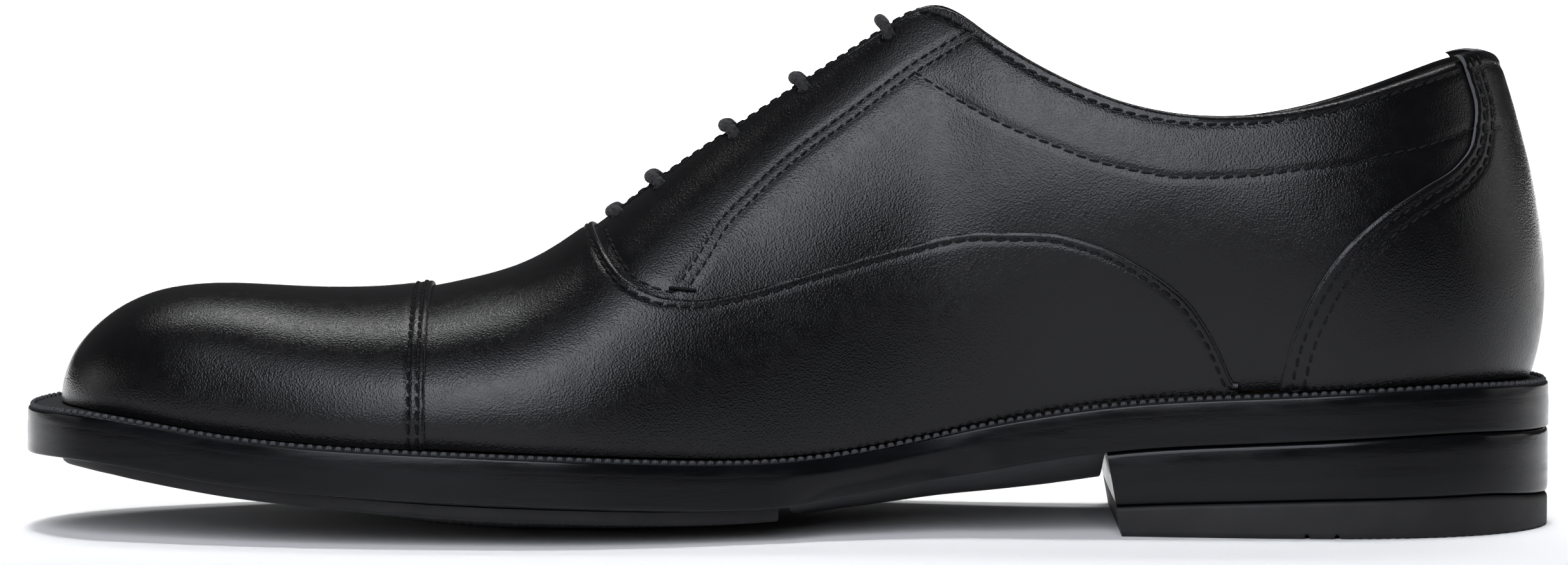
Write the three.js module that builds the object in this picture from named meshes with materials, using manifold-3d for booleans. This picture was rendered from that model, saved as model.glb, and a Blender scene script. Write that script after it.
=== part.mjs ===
import * as THREE from "three";
import { mergeVertices } from "three/addons/utils/BufferGeometryUtils.js";
import Module from "manifold-3d";

// A right-foot cap-toe oxford. The toe points to -X, the inner (medial) side of the foot
// is -Y, the sole rests on z = 0, and every size is in millimetres.

const wasm = await Module();
wasm.setup();

// ---------------------------------------------------------------- driving sizes

const MEDIAL = -1;
const LATERAL = 1;
const GAP = 0.3; // clearance between pieces that touch on the real shoe

// Leather layers, as depths under the face of the vamp (positive is outside it). Faceted
// layers that bend need more clearance than flat ones.
const LEATHER = 1;
const PLY = LEATHER + 0.5;
const layerAt = (count) => ({ outer: -count * PLY, inner: -count * PLY - LEATHER });
const LAYER = {
  cap: layerAt(-1),
  vamp: layerAt(0),
  quarter: layerAt(1),
  lining: layerAt(2),
  heelLining: layerAt(3),
};
const TONGUE = { base: 4.4, depth: 8.2, thick: 1.8, crown: 3, foot: -49, top: 17.75, edge: 0.66 };

// The sole, from the welt down.
const FOOT_GAP = 0.6; // from the welt to the lasted edge of the upper
const WELT = { thick: 3.0, lean: 1.5, inner: 10 };
const SOLE_BAND = 9.4; // welt and outsole together, at the edge
const HALF_SOLE = { thick: 2.6, inset: 4.6, toeInset: 7, back: 0 };
const BREAST = { x: 63.3, slope: 0.18 };
const LIFT_THICK = 6;
const INSOLE = { inset: 6.4, low: 0.6, thick: 2.2 };
const SOCK = { inset: 6.8, thick: 1.2 };
const SHANK = { from: -22, to: 78, wide: 13, thick: 1.4 };
const NAIL = { radius: 1.1, clearance: 0.3, length: 13 };

// The lacing.
const LACE_RADIUS = 1.15;
const EYELET = { bore: 1.85, wall: 0.5, flange: 3.0, top: -3.05, bottom: -5.15 };
const EYELET_V = [0.92, 0.905, 0.918, 0.926, 0.926]; // how far up the facing each row is
const RUN_DEPTH = -6.55; // a lace that runs between facing and tongue
const BAR_DEPTH = -0.12; // a lace that crosses over the facings
const AGLET = { radius: 1.35, length: 20 };

// ---------------------------------------------------------------- curves

// Second derivatives of the cubic spline through evenly or unevenly spaced knots.
function splineMoments(xs, ys, flatStart, flatEnd) {
  const n = xs.length;
  const diagonal = new Array(n).fill(1);
  const upper = new Array(n).fill(0);
  const right = new Array(n).fill(0);
  const lower = new Array(n).fill(0);
  const slope = (i) => (ys[i + 1] - ys[i]) / (xs[i + 1] - xs[i]);
  for (let i = 1; i < n - 1; i++) {
    lower[i] = xs[i] - xs[i - 1];
    upper[i] = xs[i + 1] - xs[i];
    diagonal[i] = 2 * (lower[i] + upper[i]);
    right[i] = 6 * (slope(i) - slope(i - 1));
  }
  if (flatStart) {
    diagonal[0] = 2 * (xs[1] - xs[0]);
    upper[0] = xs[1] - xs[0];
    right[0] = 6 * slope(0);
  }
  if (flatEnd) {
    diagonal[n - 1] = 2 * (xs[n - 1] - xs[n - 2]);
    lower[n - 1] = xs[n - 1] - xs[n - 2];
    right[n - 1] = -6 * slope(n - 2);
  }
  for (let i = 1; i < n; i++) {
    const w = lower[i] / diagonal[i - 1];
    diagonal[i] -= w * upper[i - 1];
    right[i] -= w * right[i - 1];
  }
  const moments = new Array(n);
  moments[n - 1] = right[n - 1] / diagonal[n - 1];
  for (let i = n - 2; i >= 0; i--) {
    moments[i] = (right[i] - upper[i] * moments[i + 1]) / diagonal[i];
  }
  return moments;
}

// A smooth curve y(x) through the knots. A flat end has zero slope there.
function smoothCurve(xs, ys, flatStart = false, flatEnd = false) {
  const moments = splineMoments(xs, ys, flatStart, flatEnd);
  return (x) => {
    let i = 0;
    while (i < xs.length - 2 && x > xs[i + 1]) i++;
    const h = xs[i + 1] - xs[i];
    const a = (xs[i + 1] - x) / h;
    const b = 1 - a;
    const bend = (a ** 3 - a) * moments[i] + (b ** 3 - b) * moments[i + 1];
    return a * ys[i] + b * ys[i + 1] + (bend * h * h) / 6;
  };
}

// The same through a list of [x, y] points.
function curveOf(points) {
  return smoothCurve(points.map((p) => p[0]), points.map((p) => p[1]));
}

// A curve through [x, y] points that never swings past them.
function steadyCurve(points) {
  const xs = points.map((p) => p[0]);
  const ys = points.map((p) => p[1]);
  const last = xs.length - 1;
  const step = (i) => (ys[i + 1] - ys[i]) / (xs[i + 1] - xs[i]);
  const slopes = xs.map((x, i) => {
    if (i === 0) return step(0);
    if (i === last) return step(last - 1);
    const before = step(i - 1);
    const after = step(i);
    return before * after <= 0 ? 0 : (2 * before * after) / (before + after);
  });
  return (x) => {
    const clamped = Math.min(Math.max(x, xs[0]), xs[last]);
    let i = 0;
    while (i < last - 1 && clamped > xs[i + 1]) i++;
    const h = xs[i + 1] - xs[i];
    const t = (clamped - xs[i]) / h;
    const start = (1 + 2 * t) * (1 - t) ** 2 * ys[i] + t * (1 - t) ** 2 * h * slopes[i];
    const end = t * t * (3 - 2 * t) * ys[i + 1] + t * t * (t - 1) * h * slopes[i + 1];
    return start + end;
  };
}

// Where a rising or falling function crosses zero between two ends.
function root(f, low, high) {
  const sign = Math.sign(f(low)) || 1;
  for (let i = 0; i < 40; i++) {
    const middle = (low + high) / 2;
    if (f(middle) * sign > 0) low = middle;
    else high = middle;
  }
  return (low + high) / 2;
}

const mix = (a, b, t) => a + (b - a) * t;
const smoothStep = (a, b, x) => THREE.MathUtils.smoothstep(x, a, b);
const range = (n) => Array.from({ length: n }, (_, i) => i);
const between = (a, b, n) => range(n + 1).map((i) => mix(a, b, i / n));

// ---------------------------------------------------------------- the last

// The face of the upper is a family of ribs. Each rises from the feather line, where the
// upper meets the welt, to the ridge, the facing edge or the topline.
// Foot: x, medial y, lateral y. Top: x, medial z, lateral z, half opening medial, lateral.
// Shape: bulge and rise of the side wall, reach and drop of the shoulder, turn in degrees.
const RIBS = [
  [-145.9, -6, -6, -145.9, 25.8, 25.8, 0, 0, 0, 0, 0, 0, 0],
  [-145.2, -12.3, 0.3, -145.2, 30.6, 30.6, 0, 0, 0.5, 2.9, 3.7, 0, 0],
  [-143.1, -18.6, 6.6, -143.1, 35.2, 35.2, 0, 0, 1, 5.6, 7.3, 0, 0],
  [-139.6, -24.2, 13.2, -139.6, 39.3, 39.3, 0, 0, 1.6, 8, 10.8, 0, 0],
  [-134.9, -28.6, 19.4, -134.9, 43, 43, 0, 0, 2.2, 10.3, 14, 0, 0],
  [-128.5, -32.3, 25.1, -128.5, 46, 46, 0, 0, 2.8, 12.2, 17, 0, 0],
  [-121, -35.4, 29.6, -121, 47.5, 47.5, 0, 0, 3.2, 13.6, 19.4, 0, 0],
  [-111, -38.3, 34, -111, 47.8, 47.8, 0, 0, 3.6, 14.6, 21.5, 0, 0],
  [-96, -42.6, 39, -96, 47.1, 47.1, 0, 0, 4, 15, 23.4, 0, 0],
  [-80, -45.8, 43, -80, 47.4, 47.4, 0, 0, 4.3, 15.8, 24.5, 0, 0],
  [-66, -47.4, 45.8, -66, 49.7, 49.7, 0, 0, 4.3, 17.3, 24.6, 0, 0],
  [-53, -47.8, 47.4, -53, 53.6, 53.6, 0, 0, 4, 20, 23.5, 0, 0],
  [-41, -46.9, 47.9, -41, 61, 61, 0, 0, 3.6, 24.5, 21.5, 0.4, 0],
  [-27, -44.1, 47.4, -27, 71.6, 71.6, 2.8, 2.8, 3.2, 29, 19.5, 1.8, 0],
  [-12, -40, 46, -12, 81.9, 81.9, 3.6, 3.6, 3, 32.5, 18, 4, 0],
  [4, -35.4, 42.8, 4, 92.7, 92.7, 4, 4, 3.5, 35.5, 16.6, 7, 0],
  [18, -31.2, 39.6, 18, 102, 102, 4.6, 4.6, 4.6, 37, 15, 10, 0],
  [29, -28.6, 37.2, 29, 107, 107, 6.4, 6.4, 5.8, 37, 13, 12.5, 0],
  [39, -27, 35.5, 39, 102.3, 101.8, 13, 13.4, 7, 36, 11, 14.5, 0],
  [50, -26.2, 34.3, 50, 95.5, 94.2, 18.8, 19.6, 8, 34, 9, 15, 0],
  [64, -26.6, 33.4, 64, 89.2, 87, 23.6, 25, 8.5, 30.5, 7.6, 15, 0],
  [80, -28.3, 32.8, 79, 86, 83.2, 26.4, 28, 8, 27.5, 7, 15, 4],
  [97, -30.4, 32.2, 94, 86.2, 83.2, 27.4, 28.8, 7.4, 25, 6.6, 15.3, 9],
  [113, -31, 31, 108, 88.4, 85.8, 26.6, 27.6, 6.8, 23.5, 6.6, 16.3, 19],
  [127, -28.4, 27.6, 120.5, 91.9, 89.9, 23.6, 24, 6.4, 22, 6.8, 18.2, 35],
  [138.5, -22, 20.8, 131, 95, 94, 18.2, 18.4, 6.2, 21, 7.2, 21, 53],
  [147, -11.8, 10, 139, 96.8, 96.5, 10, 10, 6.2, 20.4, 7.8, 23.6, 72],
  [150.3, -1, -1, 143, 96, 96, 0, 0, 6.2, 20, 8.1, 25, 90],
];
const BACK = RIBS.length - 1; // u at the back seam
const TIP = 0.25; // the first rib used: the very tip is closed by its own small face
const THROAT = 12; // the rib where the two facings part

const WELT_TOP = curveOf([
  [-154, 24.9], [-144, 25.2], [-131, 24], [-114, 21.6], [-98, 20.1], [-73, 18.9],
  [-48, 17.9], [-24, 16.7], [-8, 16.2], [6, 16.8], [20, 18.7], [35, 21.6], [52, 24.6],
  [69, 26.8], [86, 28], [104, 28.9], [121, 29.8], [138, 30.2], [154, 29.4],
]);
const RIDGE_Y = curveOf([[-147, -6], [-90, -7], [-40, -6.5], [30, -4], [100, -1.5], [150, -1]]);

const ribCurve = range(13).map((column) => {
  const xs = range(RIBS.length);
  const ys = RIBS.map((row) => row[column]);
  const alongX = column === 0 || column === 3;
  const isSide = column === 1 || column === 2;
  return smoothCurve(xs, ys, alongX, !isSide && column !== 12);
});
const openingCurve = [6, 7].map((column) => {
  const xs = range(RIBS.length).slice(THROAT);
  return smoothCurve(xs, xs.map((u) => RIBS[u][column]));
});

// The four control points of rib u. A closed rib ignores the opening between the facings.
function rib(u, side, closed = false) {
  const pick = side === MEDIAL ? 0 : 1;
  const [footX, topX] = [ribCurve[0](u), ribCurve[3](u)];
  const turn = (ribCurve[12](u) * Math.PI) / 180;
  const out = [Math.sin(turn), side * Math.cos(turn)];
  const opening = u <= THROAT || closed ? 0 : openingCurve[pick](u);
  const drop = ribCurve[11](u) * (closed ? 0.3 : 1);
  const foot = [footX, ribCurve[1 + pick](u), WELT_TOP(footX) + FOOT_GAP];
  const top = [topX, RIDGE_Y(topX) + side * opening, ribCurve[4 + pick](u)];
  const bulge = ribCurve[8](u);
  const reach = ribCurve[10](u);
  return [
    foot,
    [foot[0] + out[0] * bulge, foot[1] + out[1] * bulge, foot[2] + ribCurve[9](u)],
    [top[0] + out[0] * reach, top[1] + out[1] * reach, top[2] - drop],
    top,
  ];
}

// A point of the last's face: u counts the ribs from the toe, v runs up each rib.
function facePoint(u, v, side, closed) {
  const [a, b, c, d] = rib(u, side, closed);
  const w = 1 - v;
  const weights = [w ** 3, 3 * w * w * v, 3 * w * v * v, v ** 3];
  return new THREE.Vector3(
    ...range(3).map((k) => weights[0] * a[k] + weights[1] * b[k] + weights[2] * c[k] + weights[3] * d[k]),
  );
}

// The outward normal there, from small steps that stay inside the face.
function faceNormal(u, v, side, closed) {
  const h = 0.02;
  const [u0, u1] = [Math.max(u - h, 0.05), Math.min(u + h, BACK)];
  const [v0, v1] = [Math.max(v - h, 0), Math.min(v + h, 1)];
  const along = facePoint(u1, v, side, closed).sub(facePoint(u0, v, side, closed));
  const up = facePoint(u, v1, side, closed).sub(facePoint(u, v0, side, closed));
  const normal = along.cross(up).normalize();
  return side === MEDIAL ? normal : normal.negate();
}

// A point at a depth under the face (negative is inside the shoe).
function layerPoint(u, v, side, depth, closed) {
  return facePoint(u, v, side, closed).addScaledVector(faceNormal(u, v, side, closed), depth);
}

// The rib whose top lies at this x.
const ribAt = (x) => root((u) => ribCurve[3](u) - x, 0.05, BACK);

// ---------------------------------------------------------------- solids

function geometryOf(points, faces) {
  const flat = faces.flatMap((face) => face.flatMap((i) => points[i].toArray()));
  const geometry = new THREE.BufferGeometry();
  geometry.setAttribute("position", new THREE.Float32BufferAttribute(flat, 3));
  geometry.computeVertexNormals();
  return geometry;
}

// A closed shell between two depths of the face, over patches of (u, v) cells. Patches that
// meet on the ridge or at the back seam are joined there, and open edges get walls.
function shell(patches, layer, closed = false) {
  const spots = [];
  const index = new Map();
  const faces = [];
  const spotOf = (u, v, side) => {
    const shared = (v === 1 && (closed || u <= THROAT)) || u === BACK;
    const key = `${shared ? 0 : side},${u},${v}`;
    if (!index.has(key)) {
      index.set(key, spots.length);
      spots.push({ u, v, side });
    }
    return index.get(key);
  };
  for (const { side, rows } of patches) {
    const grid = rows.map((row) => row.map(([u, v]) => spotOf(u, v, side)));
    for (let i = 0; i + 1 < grid.length; i++) {
      for (let j = 0; j + 1 < grid[i].length; j++) {
        const quad = [grid[i][j], grid[i + 1][j], grid[i + 1][j + 1], grid[i][j + 1]];
        if (side === LATERAL) quad.reverse();
        faces.push([quad[0], quad[1], quad[2]], [quad[0], quad[2], quad[3]]);
      }
    }
  }
  const real = faces.filter((f) => f[0] !== f[1] && f[1] !== f[2] && f[0] !== f[2]);
  const depthOf = (depth, u, v) => (typeof depth === "function" ? depth(u, v) : depth);
  const place = (depth) => ({ u, v, side }) => layerPoint(u, v, side, depthOf(depth, u, v), closed);
  const points = [...spots.map(place(layer.outer)), ...spots.map(place(layer.inner))];
  const n = spots.length;
  const edges = new Set(real.flatMap((f) => range(3).map((k) => `${f[k]},${f[(k + 1) % 3]}`)));
  const walls = [];
  for (const edge of edges) {
    const [a, b] = edge.split(",").map(Number);
    if (!edges.has(`${b},${a}`)) walls.push([a, n + a, n + b], [a, n + b, b]);
  }
  const inner = real.map(([a, b, c]) => [n + a, n + c, n + b]);
  return geometryOf(points, [...real, ...inner, ...walls]);
}

// Layers share these ribs, so that their facets stay parallel.
const SHARED_RIBS = [1, 1.75, 2.5, 3.25, 4, 5, 6, 7, 8, 9, 10, 11, 12.1, 12.3, 12.5, 12.8, 13.1].concat(
  between(13.8, BACK - 0.8, 18),
);
const BANDS = 9;

function ribsBetween(from, to) {
  return [from, ...SHARED_RIBS.filter((u) => u > from + 0.15 && u < to - 0.15), to];
}

// Rows of (u, v) on these ribs, from the feather line up to a height that may follow u.
function rowsUp(us, height, bands = BANDS) {
  return us.map((u) => between(0, typeof height === "function" ? height(u) : height, bands).map((v) => [u, v]));
}

// Rows of (u, v) at even heights, from a front edge u(v) to a back edge.
function rowsAlong(front, back, cells, low, high, bands) {
  return range(cells + 1).map((i) =>
    between(low, high, bands).map((v) => [mix(front(v), back, i / cells), v]),
  );
}

const bothSides = (rowsOf) => [MEDIAL, LATERAL].map((side) => ({ side, rows: rowsOf(side) }));

// A closed body through rings of points, each with the same count, with flat ends.
function loft(rings) {
  const count = rings[0].length;
  const points = rings.flat();
  const faces = [];
  for (let i = 0; i + 1 < rings.length; i++) {
    for (let j = 0; j < count; j++) {
      const k = (j + 1) % count;
      const [a, b, c, d] = [i * count + j, i * count + k, (i + 1) * count + k, (i + 1) * count + j];
      faces.push([a, c, b], [a, d, c]);
    }
  }
  const end = (rings.length - 1) * count;
  const contour = (ring) => ring.map((p) => new THREE.Vector2(p.y, p.z));
  for (const [a, b, c] of THREE.ShapeUtils.triangulateShape(contour(rings[0]), [])) {
    faces.push(facesForward(rings[0], a, b, c) ? [a, c, b] : [a, b, c]);
  }
  for (const [a, b, c] of THREE.ShapeUtils.triangulateShape(contour(rings.at(-1)), [])) {
    const turned = facesForward(rings.at(-1), a, b, c) ? [a, b, c] : [a, c, b];
    faces.push(turned.map((i) => i + end));
  }
  return geometryOf(points, faces);
}

function facesForward(ring, a, b, c) {
  const first = ring[b].clone().sub(ring[a]);
  const second = ring[c].clone().sub(ring[a]);
  return first.cross(second).x > 0;
}

function toSolid(geometry) {
  const loose = geometry.index ? geometry.toNonIndexed() : geometry;
  const bare = new THREE.BufferGeometry();
  bare.setAttribute("position", loose.getAttribute("position"));
  const merged = mergeVertices(bare, 1e-3);
  return new wasm.Manifold(
    new wasm.Mesh({
      numProp: 3,
      vertProperties: merged.attributes.position.array,
      triVerts: new Uint32Array(merged.index.array),
    }),
  );
}

function fromSolid(solid) {
  const mesh = solid.getMesh();
  const geometry = new THREE.BufferGeometry();
  geometry.setAttribute("position", new THREE.BufferAttribute(mesh.vertProperties, 3));
  geometry.setIndex(new THREE.BufferAttribute(mesh.triVerts, 1));
  return geometry.toNonIndexed();
}

function cut(geometry, tools) {
  return fromSolid(tools.reduce((solid, tool) => solid.subtract(toSolid(tool)), toSolid(geometry)));
}

// ---------------------------------------------------------------- the upper's patterns

// Side-view edges of the pattern pieces.
const VAMP_EDGE = steadyCurve([
  [-40.6, 62.5], [-38.5, 59.5], [-36, 55.8], [-33, 52.6], [-29, 50.2], [-24.5, 48.7],
  [-18, 48.2], [-10, 49.4], [4, 53.1], [22, 57.8], [38, 60.9], [50, 60.8], [61, 58.3],
  [70.5, 53.5], [78.5, 47.4], [84, 39.4], [88, 30.4],
]);
const COUNTER_EDGE = steadyCurve([
  [29, 97.7], [38, 99.6], [46.4, 102.8], [53.4, 106.8], [58.1, 110.5], [64.7, 118.1],
  [69.5, 125.8], [73.8, 133.3], [78.4, 137], [85.1, 138.1], [91.9, 136.4], [97.5, 134.6],
]);
const CAP_EDGE_X = -72;
const VAMP_FRONT = -40.6;
const VAMP_BACK = 87.2;

function vampHeight(side) {
  return (u) => {
    if (facePoint(u, 1, side).x <= VAMP_FRONT) return 1;
    const above = (v) => {
      const p = facePoint(u, v, side);
      return VAMP_EDGE(p.x) - p.z;
    };
    return Math.max(root(above, 0, 1), 0.02);
  };
}

function counterFront(side) {
  return (v) =>
    root((u) => {
      const p = facePoint(u, v, side);
      return COUNTER_EDGE(p.z) - p.x;
    }, 19, BACK);
}

function toeCap() {
  return shell(bothSides(() => rowsUp(ribsBetween(TIP, ribAt(CAP_EDGE_X)), 1)), LAYER.cap);
}

function toePuff() {
  return shell(bothSides(() => rowsUp(ribsBetween(TIP, ribAt(-86)), 1)), LAYER.quarter);
}

function vamp() {
  const throat = [VAMP_FRONT + 0.01, -39.5, -37.8, -35.4, -32, -27, -19, -7];
  const wing = [8, 22, 36, 49, 60.5, 70, 77.5, 83, VAMP_BACK];
  const us = [...ribsBetween(TIP, ribAt(VAMP_FRONT)), ...[...throat, ...wing].map(ribAt)];
  return shell(bothSides((side) => rowsUp(us, vampHeight(side))), LAYER.vamp);
}

function interlining() {
  return shell(bothSides(() => rowsUp(ribsBetween(ribAt(-85), ribAt(-46.5)), 1)), LAYER.quarter);
}

function quarter(side) {
  return shell([{ side, rows: rowsUp(ribsBetween(ribAt(-45.5), BACK - 0.05), 0.985) }], LAYER.quarter);
}

function counter() {
  return shell(
    bothSides((side) => rowsAlong(counterFront(side), BACK, 9, 0, 1, 12)),
    LAYER.vamp,
  );
}

function heelStiffener() {
  return shell(bothSides(() => rowsAlong((v) => 22.8 + 1.8 * v, BACK, 6, 0, 0.8, 7)), LAYER.lining);
}

function vampLining() {
  return shell(bothSides(() => rowsUp(ribsBetween(TIP, ribAt(-46.5)), 1)), LAYER.lining);
}

// The quarter lining steps inwards to pass over the stiffener.
function quarterLining(side) {
  const sink = (u) => Math.min(Math.max((u - 20.4) / 1.8, 0), 1);
  const layer = {
    outer: (u) => mix(LAYER.lining.outer, LAYER.heelLining.outer, sink(u)),
    inner: (u) => mix(LAYER.lining.inner, LAYER.heelLining.inner, sink(u)),
  };
  return shell([{ side, rows: rowsUp(ribsBetween(ribAt(-45.5), 23.4), 0.985) }], layer);
}

function heelLining() {
  return shell(bothSides(() => rowsUp(ribsBetween(23.44, BACK), 0.985)), LAYER.heelLining);
}

// The tongue is sewn on under the throat. It dips under the facings and the lace, and rises a
// little between them.
function tongue() {
  const { base, depth, thick, crown, foot, top, edge } = TONGUE;
  const dip = (u) => smoothStep(ribAt(foot + 1), ribAt(foot + 9), u);
  const level = (u, v) => -mix(base, depth - crown * smoothStep(0.93, 0.99, v), dip(u));
  const layer = { outer: level, inner: (u, v) => level(u, v) - thick };
  const rows = [ribAt(foot), ...between(ribAt(foot + 3), top, 14)].map((u) =>
    [edge, 0.74, 0.82, 0.88, 0.93, 0.96, 1].map((v) => [u, v]),
  );
  return shell(bothSides(() => rows), layer, true);
}

// ---------------------------------------------------------------- the sole

// Plan of the sole edge: x, medial y, lateral y.
const SOLE_PLAN = [
  [-154, -6, -6], [-152.8, -15.5, 3.5], [-149.3, -23.6, 11.9], [-143.6, -30.9, 19.8],
  [-136, -35.8, 26.5], [-126, -39.8, 32.4], [-111, -44.8, 39], [-92, -49.3, 45.4],
  [-70, -52.1, 50.3], [-46, -52.5, 52.7], [-22, -47.7, 51.6], [2, -39, 46.4],
  [25, -31.6, 41], [46, -28.6, 37.2], [66, -29.2, 35.6], [86, -31.8, 35.2],
  [104, -33.8, 34.6], [121, -33.2, 32.4], [135, -28.8, 27.4], [145.5, -21, 19.2],
  [151.9, -11, 9], [154, -1, -1],
];
const SOLE_END = SOLE_PLAN.length - 1;
const planCurve = range(3).map((column) => {
  const xs = range(SOLE_PLAN.length);
  return smoothCurve(xs, SOLE_PLAN.map((row) => row[column]), column === 0, column === 0);
});
// How far the bottom hangs below the edge along the middle.
const CAMBER = curveOf([
  [-150, 0], [-145, 0.7], [-133, 2.9], [-100, 4.6], [-67, 8.6], [-45, 8.4], [-16, 6.5],
  [0, 5.2], [18, 5.3], [35, 6.4], [53, 7.6], [64, 7.5],
]);

const soleEdge = (t, side) => new THREE.Vector2(planCurve[0](t), planCurve[side === MEDIAL ? 1 : 2](t));
const featherEdge = (u, side) => new THREE.Vector2(ribCurve[0](u), ribCurve[side === MEDIAL ? 1 : 2](u));

// A plan point moved inwards, square to its outline.
function inset(outline, t, side, distance, end) {
  const h = 0.01;
  const along = outline(Math.min(t + h, end), side).sub(outline(Math.max(t - h, 0), side)).normalize();
  const inward = new THREE.Vector2(side * along.y, -side * along.x);
  return outline(t, side).addScaledVector(inward, distance);
}

// A slab across the plan: levels run from the top edge to the bottom edge, each with an
// inset and a height z(x), and the bottom may bow down in the middle.
function slab({ outline, end, ts, levels, bow = () => 0, topBow = () => 0, reach = 1, across = 6, shift = (p) => p }) {
  const rings = ts.map((t) => {
    const edge = (side) =>
      levels.map(({ inset: distance, z }) => {
        const d = typeof distance === "function" ? distance(outline(t, side).x, side) : distance;
        const p = inset(outline, t, side, d, end);
        return new THREE.Vector3(p.x, p.y, z(p.x));
      });
    const medial = edge(MEDIAL);
    const lateral = edge(LATERAL);
    const bottom = between(0, 1, across).slice(1, -1).map((f) => {
      const p = lateral.at(-1).clone().lerp(medial.at(-1), f);
      p.z -= bow(p.x) * bowShape(2 * f - 1, reach);
      return p;
    });
    const top = between(0, 1, across).slice(1, -1).map((f) => {
      const p = medial[0].clone().lerp(lateral[0], f);
      p.z -= topBow(p.x) * bowShape(2 * f - 1, reach);
      return p;
    });
    return [...lateral, ...bottom, ...medial.reverse(), ...top].map(shift);
  });
  return loft(rings);
}

// The bow across the sole: zero at its own edge, one in the middle. A narrower piece
// reaches only part of the way out, and starts where the wider bow already is.
function bowShape(f, reach) {
  return reach * reach * (1 - f * f);
}

const soleAt = (x) => root((t) => planCurve[0](t) - x, 0.05, SOLE_END);
const footAt = (x) => root((u) => ribCurve[0](u) - x, 0.05, BACK);

// The rim of the welt, as a ring whose section is a leaning rectangle.
function welt() {
  const sides = [MEDIAL, LATERAL].map((side) => between(0, SOLE_END, 42).map((t) => ({ t, side })));
  const loop = [...sides[0], ...sides[1].reverse().slice(1, -1)];
  const section = loop.map(({ t, side }) => {
    const corner = (distance, drop) => {
      const p = inset(soleEdge, t, side, distance, SOLE_END);
      return new THREE.Vector3(p.x, p.y, WELT_TOP(p.x) - drop);
    };
    return [corner(WELT.lean, 0), corner(0.6, WELT.thick), corner(WELT.inner, WELT.thick), corner(WELT.inner, 0)];
  });
  const faces = [];
  for (const i of range(section.length)) {
    const next = (i + 1) % section.length;
    for (const j of range(4)) {
      const k = (j + 1) % 4;
      const [a, b, c, d] = [i * 4 + j, i * 4 + k, next * 4 + k, next * 4 + j];
      faces.push([a, b, c], [a, c, d]);
    }
  }
  return geometryOf(section.flat(), faces);
}

const bandLow = (x) => WELT_TOP(x) - SOLE_BAND;
// The medial waist is rounded under, from the half sole to the heel.
const waistBevel = (x, side) =>
  side === MEDIAL ? 4.5 * smoothStep(-4, 12, x) * (1 - smoothStep(26, 42, x)) : 0;

function outsoleBow(x) {
  if (x > BREAST.x - 0.4) return 0;
  const depth = Math.max(CAMBER(x), 0);
  return x < HALF_SOLE.back ? Math.max(depth - HALF_SOLE.thick - GAP, 0) : depth;
}

function outsole() {
  const before = between(0.15, soleAt(HALF_SOLE.back - 0.1), 20);
  const waist = between(soleAt(HALF_SOLE.back + 0.1), soleAt(BREAST.x - 0.5), 8);
  const seat = between(soleAt(BREAST.x - 0.3), SOLE_END - 0.05, 12);
  return slab({
    outline: soleEdge,
    end: SOLE_END,
    ts: [...before, ...waist, ...seat],
    levels: [
      { inset: 0.7, z: (x) => WELT_TOP(x) - WELT.thick - GAP },
      { inset: (x, side) => 0.2 * waistBevel(x, side), z: (x) => WELT_TOP(x) - 5 },
      { inset: (x, side) => 0.5 * waistBevel(x, side), z: (x) => bandLow(x) + 1 },
      { inset: (x, side) => 0.7 + waistBevel(x, side), z: bandLow },
    ],
    bow: outsoleBow,
  });
}

// The thin rubber half sole under the forepart follows the bow of the outsole.
function halfSole() {
  const reach = 0.9;
  const margin = (x) => mix(HALF_SOLE.toeInset, HALF_SOLE.inset, smoothStep(-150, -130, x));
  const atEdge = (x) => bandLow(x) - GAP - outsoleBow(x) * (1 - reach ** 2);
  return slab({
    outline: soleEdge,
    end: SOLE_END,
    ts: between(0.5, soleAt(HALF_SOLE.back - 0.6), 20),
    levels: [
      { inset: margin, z: atEdge },
      { inset: margin, z: (x) => atEdge(x) - HALF_SOLE.thick },
    ],
    bow: outsoleBow,
    topBow: outsoleBow,
    reach,
  });
}

// Leans the breast of the heel: its top is further forward than its foot.
function leanBreast(p) {
  const near = 1 - smoothStep(BREAST.x, BREAST.x + 14, p.x);
  p.x += near * BREAST.slope * Math.max(bandLow(BREAST.x) - p.z, 0);
  return p;
}

const liftTop = steadyCurve([[63, 5.9], [86, 6.8], [112, 7.6], [138, 7.9], [154, 6.4]]);

function heelPart(levels) {
  return slab({
    outline: soleEdge,
    end: SOLE_END,
    ts: between(soleAt(BREAST.x), SOLE_END - 0.05, 14),
    levels,
    across: 4,
    shift: leanBreast,
  });
}

function heelBlock() {
  const top = (x) => bandLow(x) - GAP;
  return cut(
    heelPart([
      { inset: 0.9, z: top },
      { inset: 0.2, z: (x) => top(x) - 0.8 },
      { inset: 0.4, z: (x) => liftTop(x) + GAP + 0.8 },
      { inset: 1, z: (x) => liftTop(x) + GAP },
    ]),
    nailPlaces().map((place) => nailShape(place, NAIL.radius + NAIL.clearance, NAIL.length + 1)),
  );
}

function topLift() {
  return cut(
    heelPart([
      { inset: 1, z: liftTop },
      { inset: 0.4, z: (x) => liftTop(x) - 0.8 },
      { inset: 0.4, z: () => 0.6 },
      { inset: 0.9, z: () => 0 },
    ]),
    nailPlaces().map((place) => nailShape(place, NAIL.radius + NAIL.clearance, NAIL.length + 1)),
  );
}

// Nails stand in an arc round the back of the top lift.
function nailPlaces() {
  return [-80, -40, 0, 40, 80].map((degrees) => {
    const angle = (degrees * Math.PI) / 180;
    return [112 + 32 * Math.cos(angle), -0.5 + 23 * Math.sin(angle)];
  });
}

function nailShape([x, y], radius, length) {
  const low = radius > NAIL.radius ? -1 : 0.2;
  const shape = new THREE.CylinderGeometry(radius, radius, length - low, 12);
  return shape.rotateX(Math.PI / 2).translate(x, y, (length + low) / 2);
}

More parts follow.
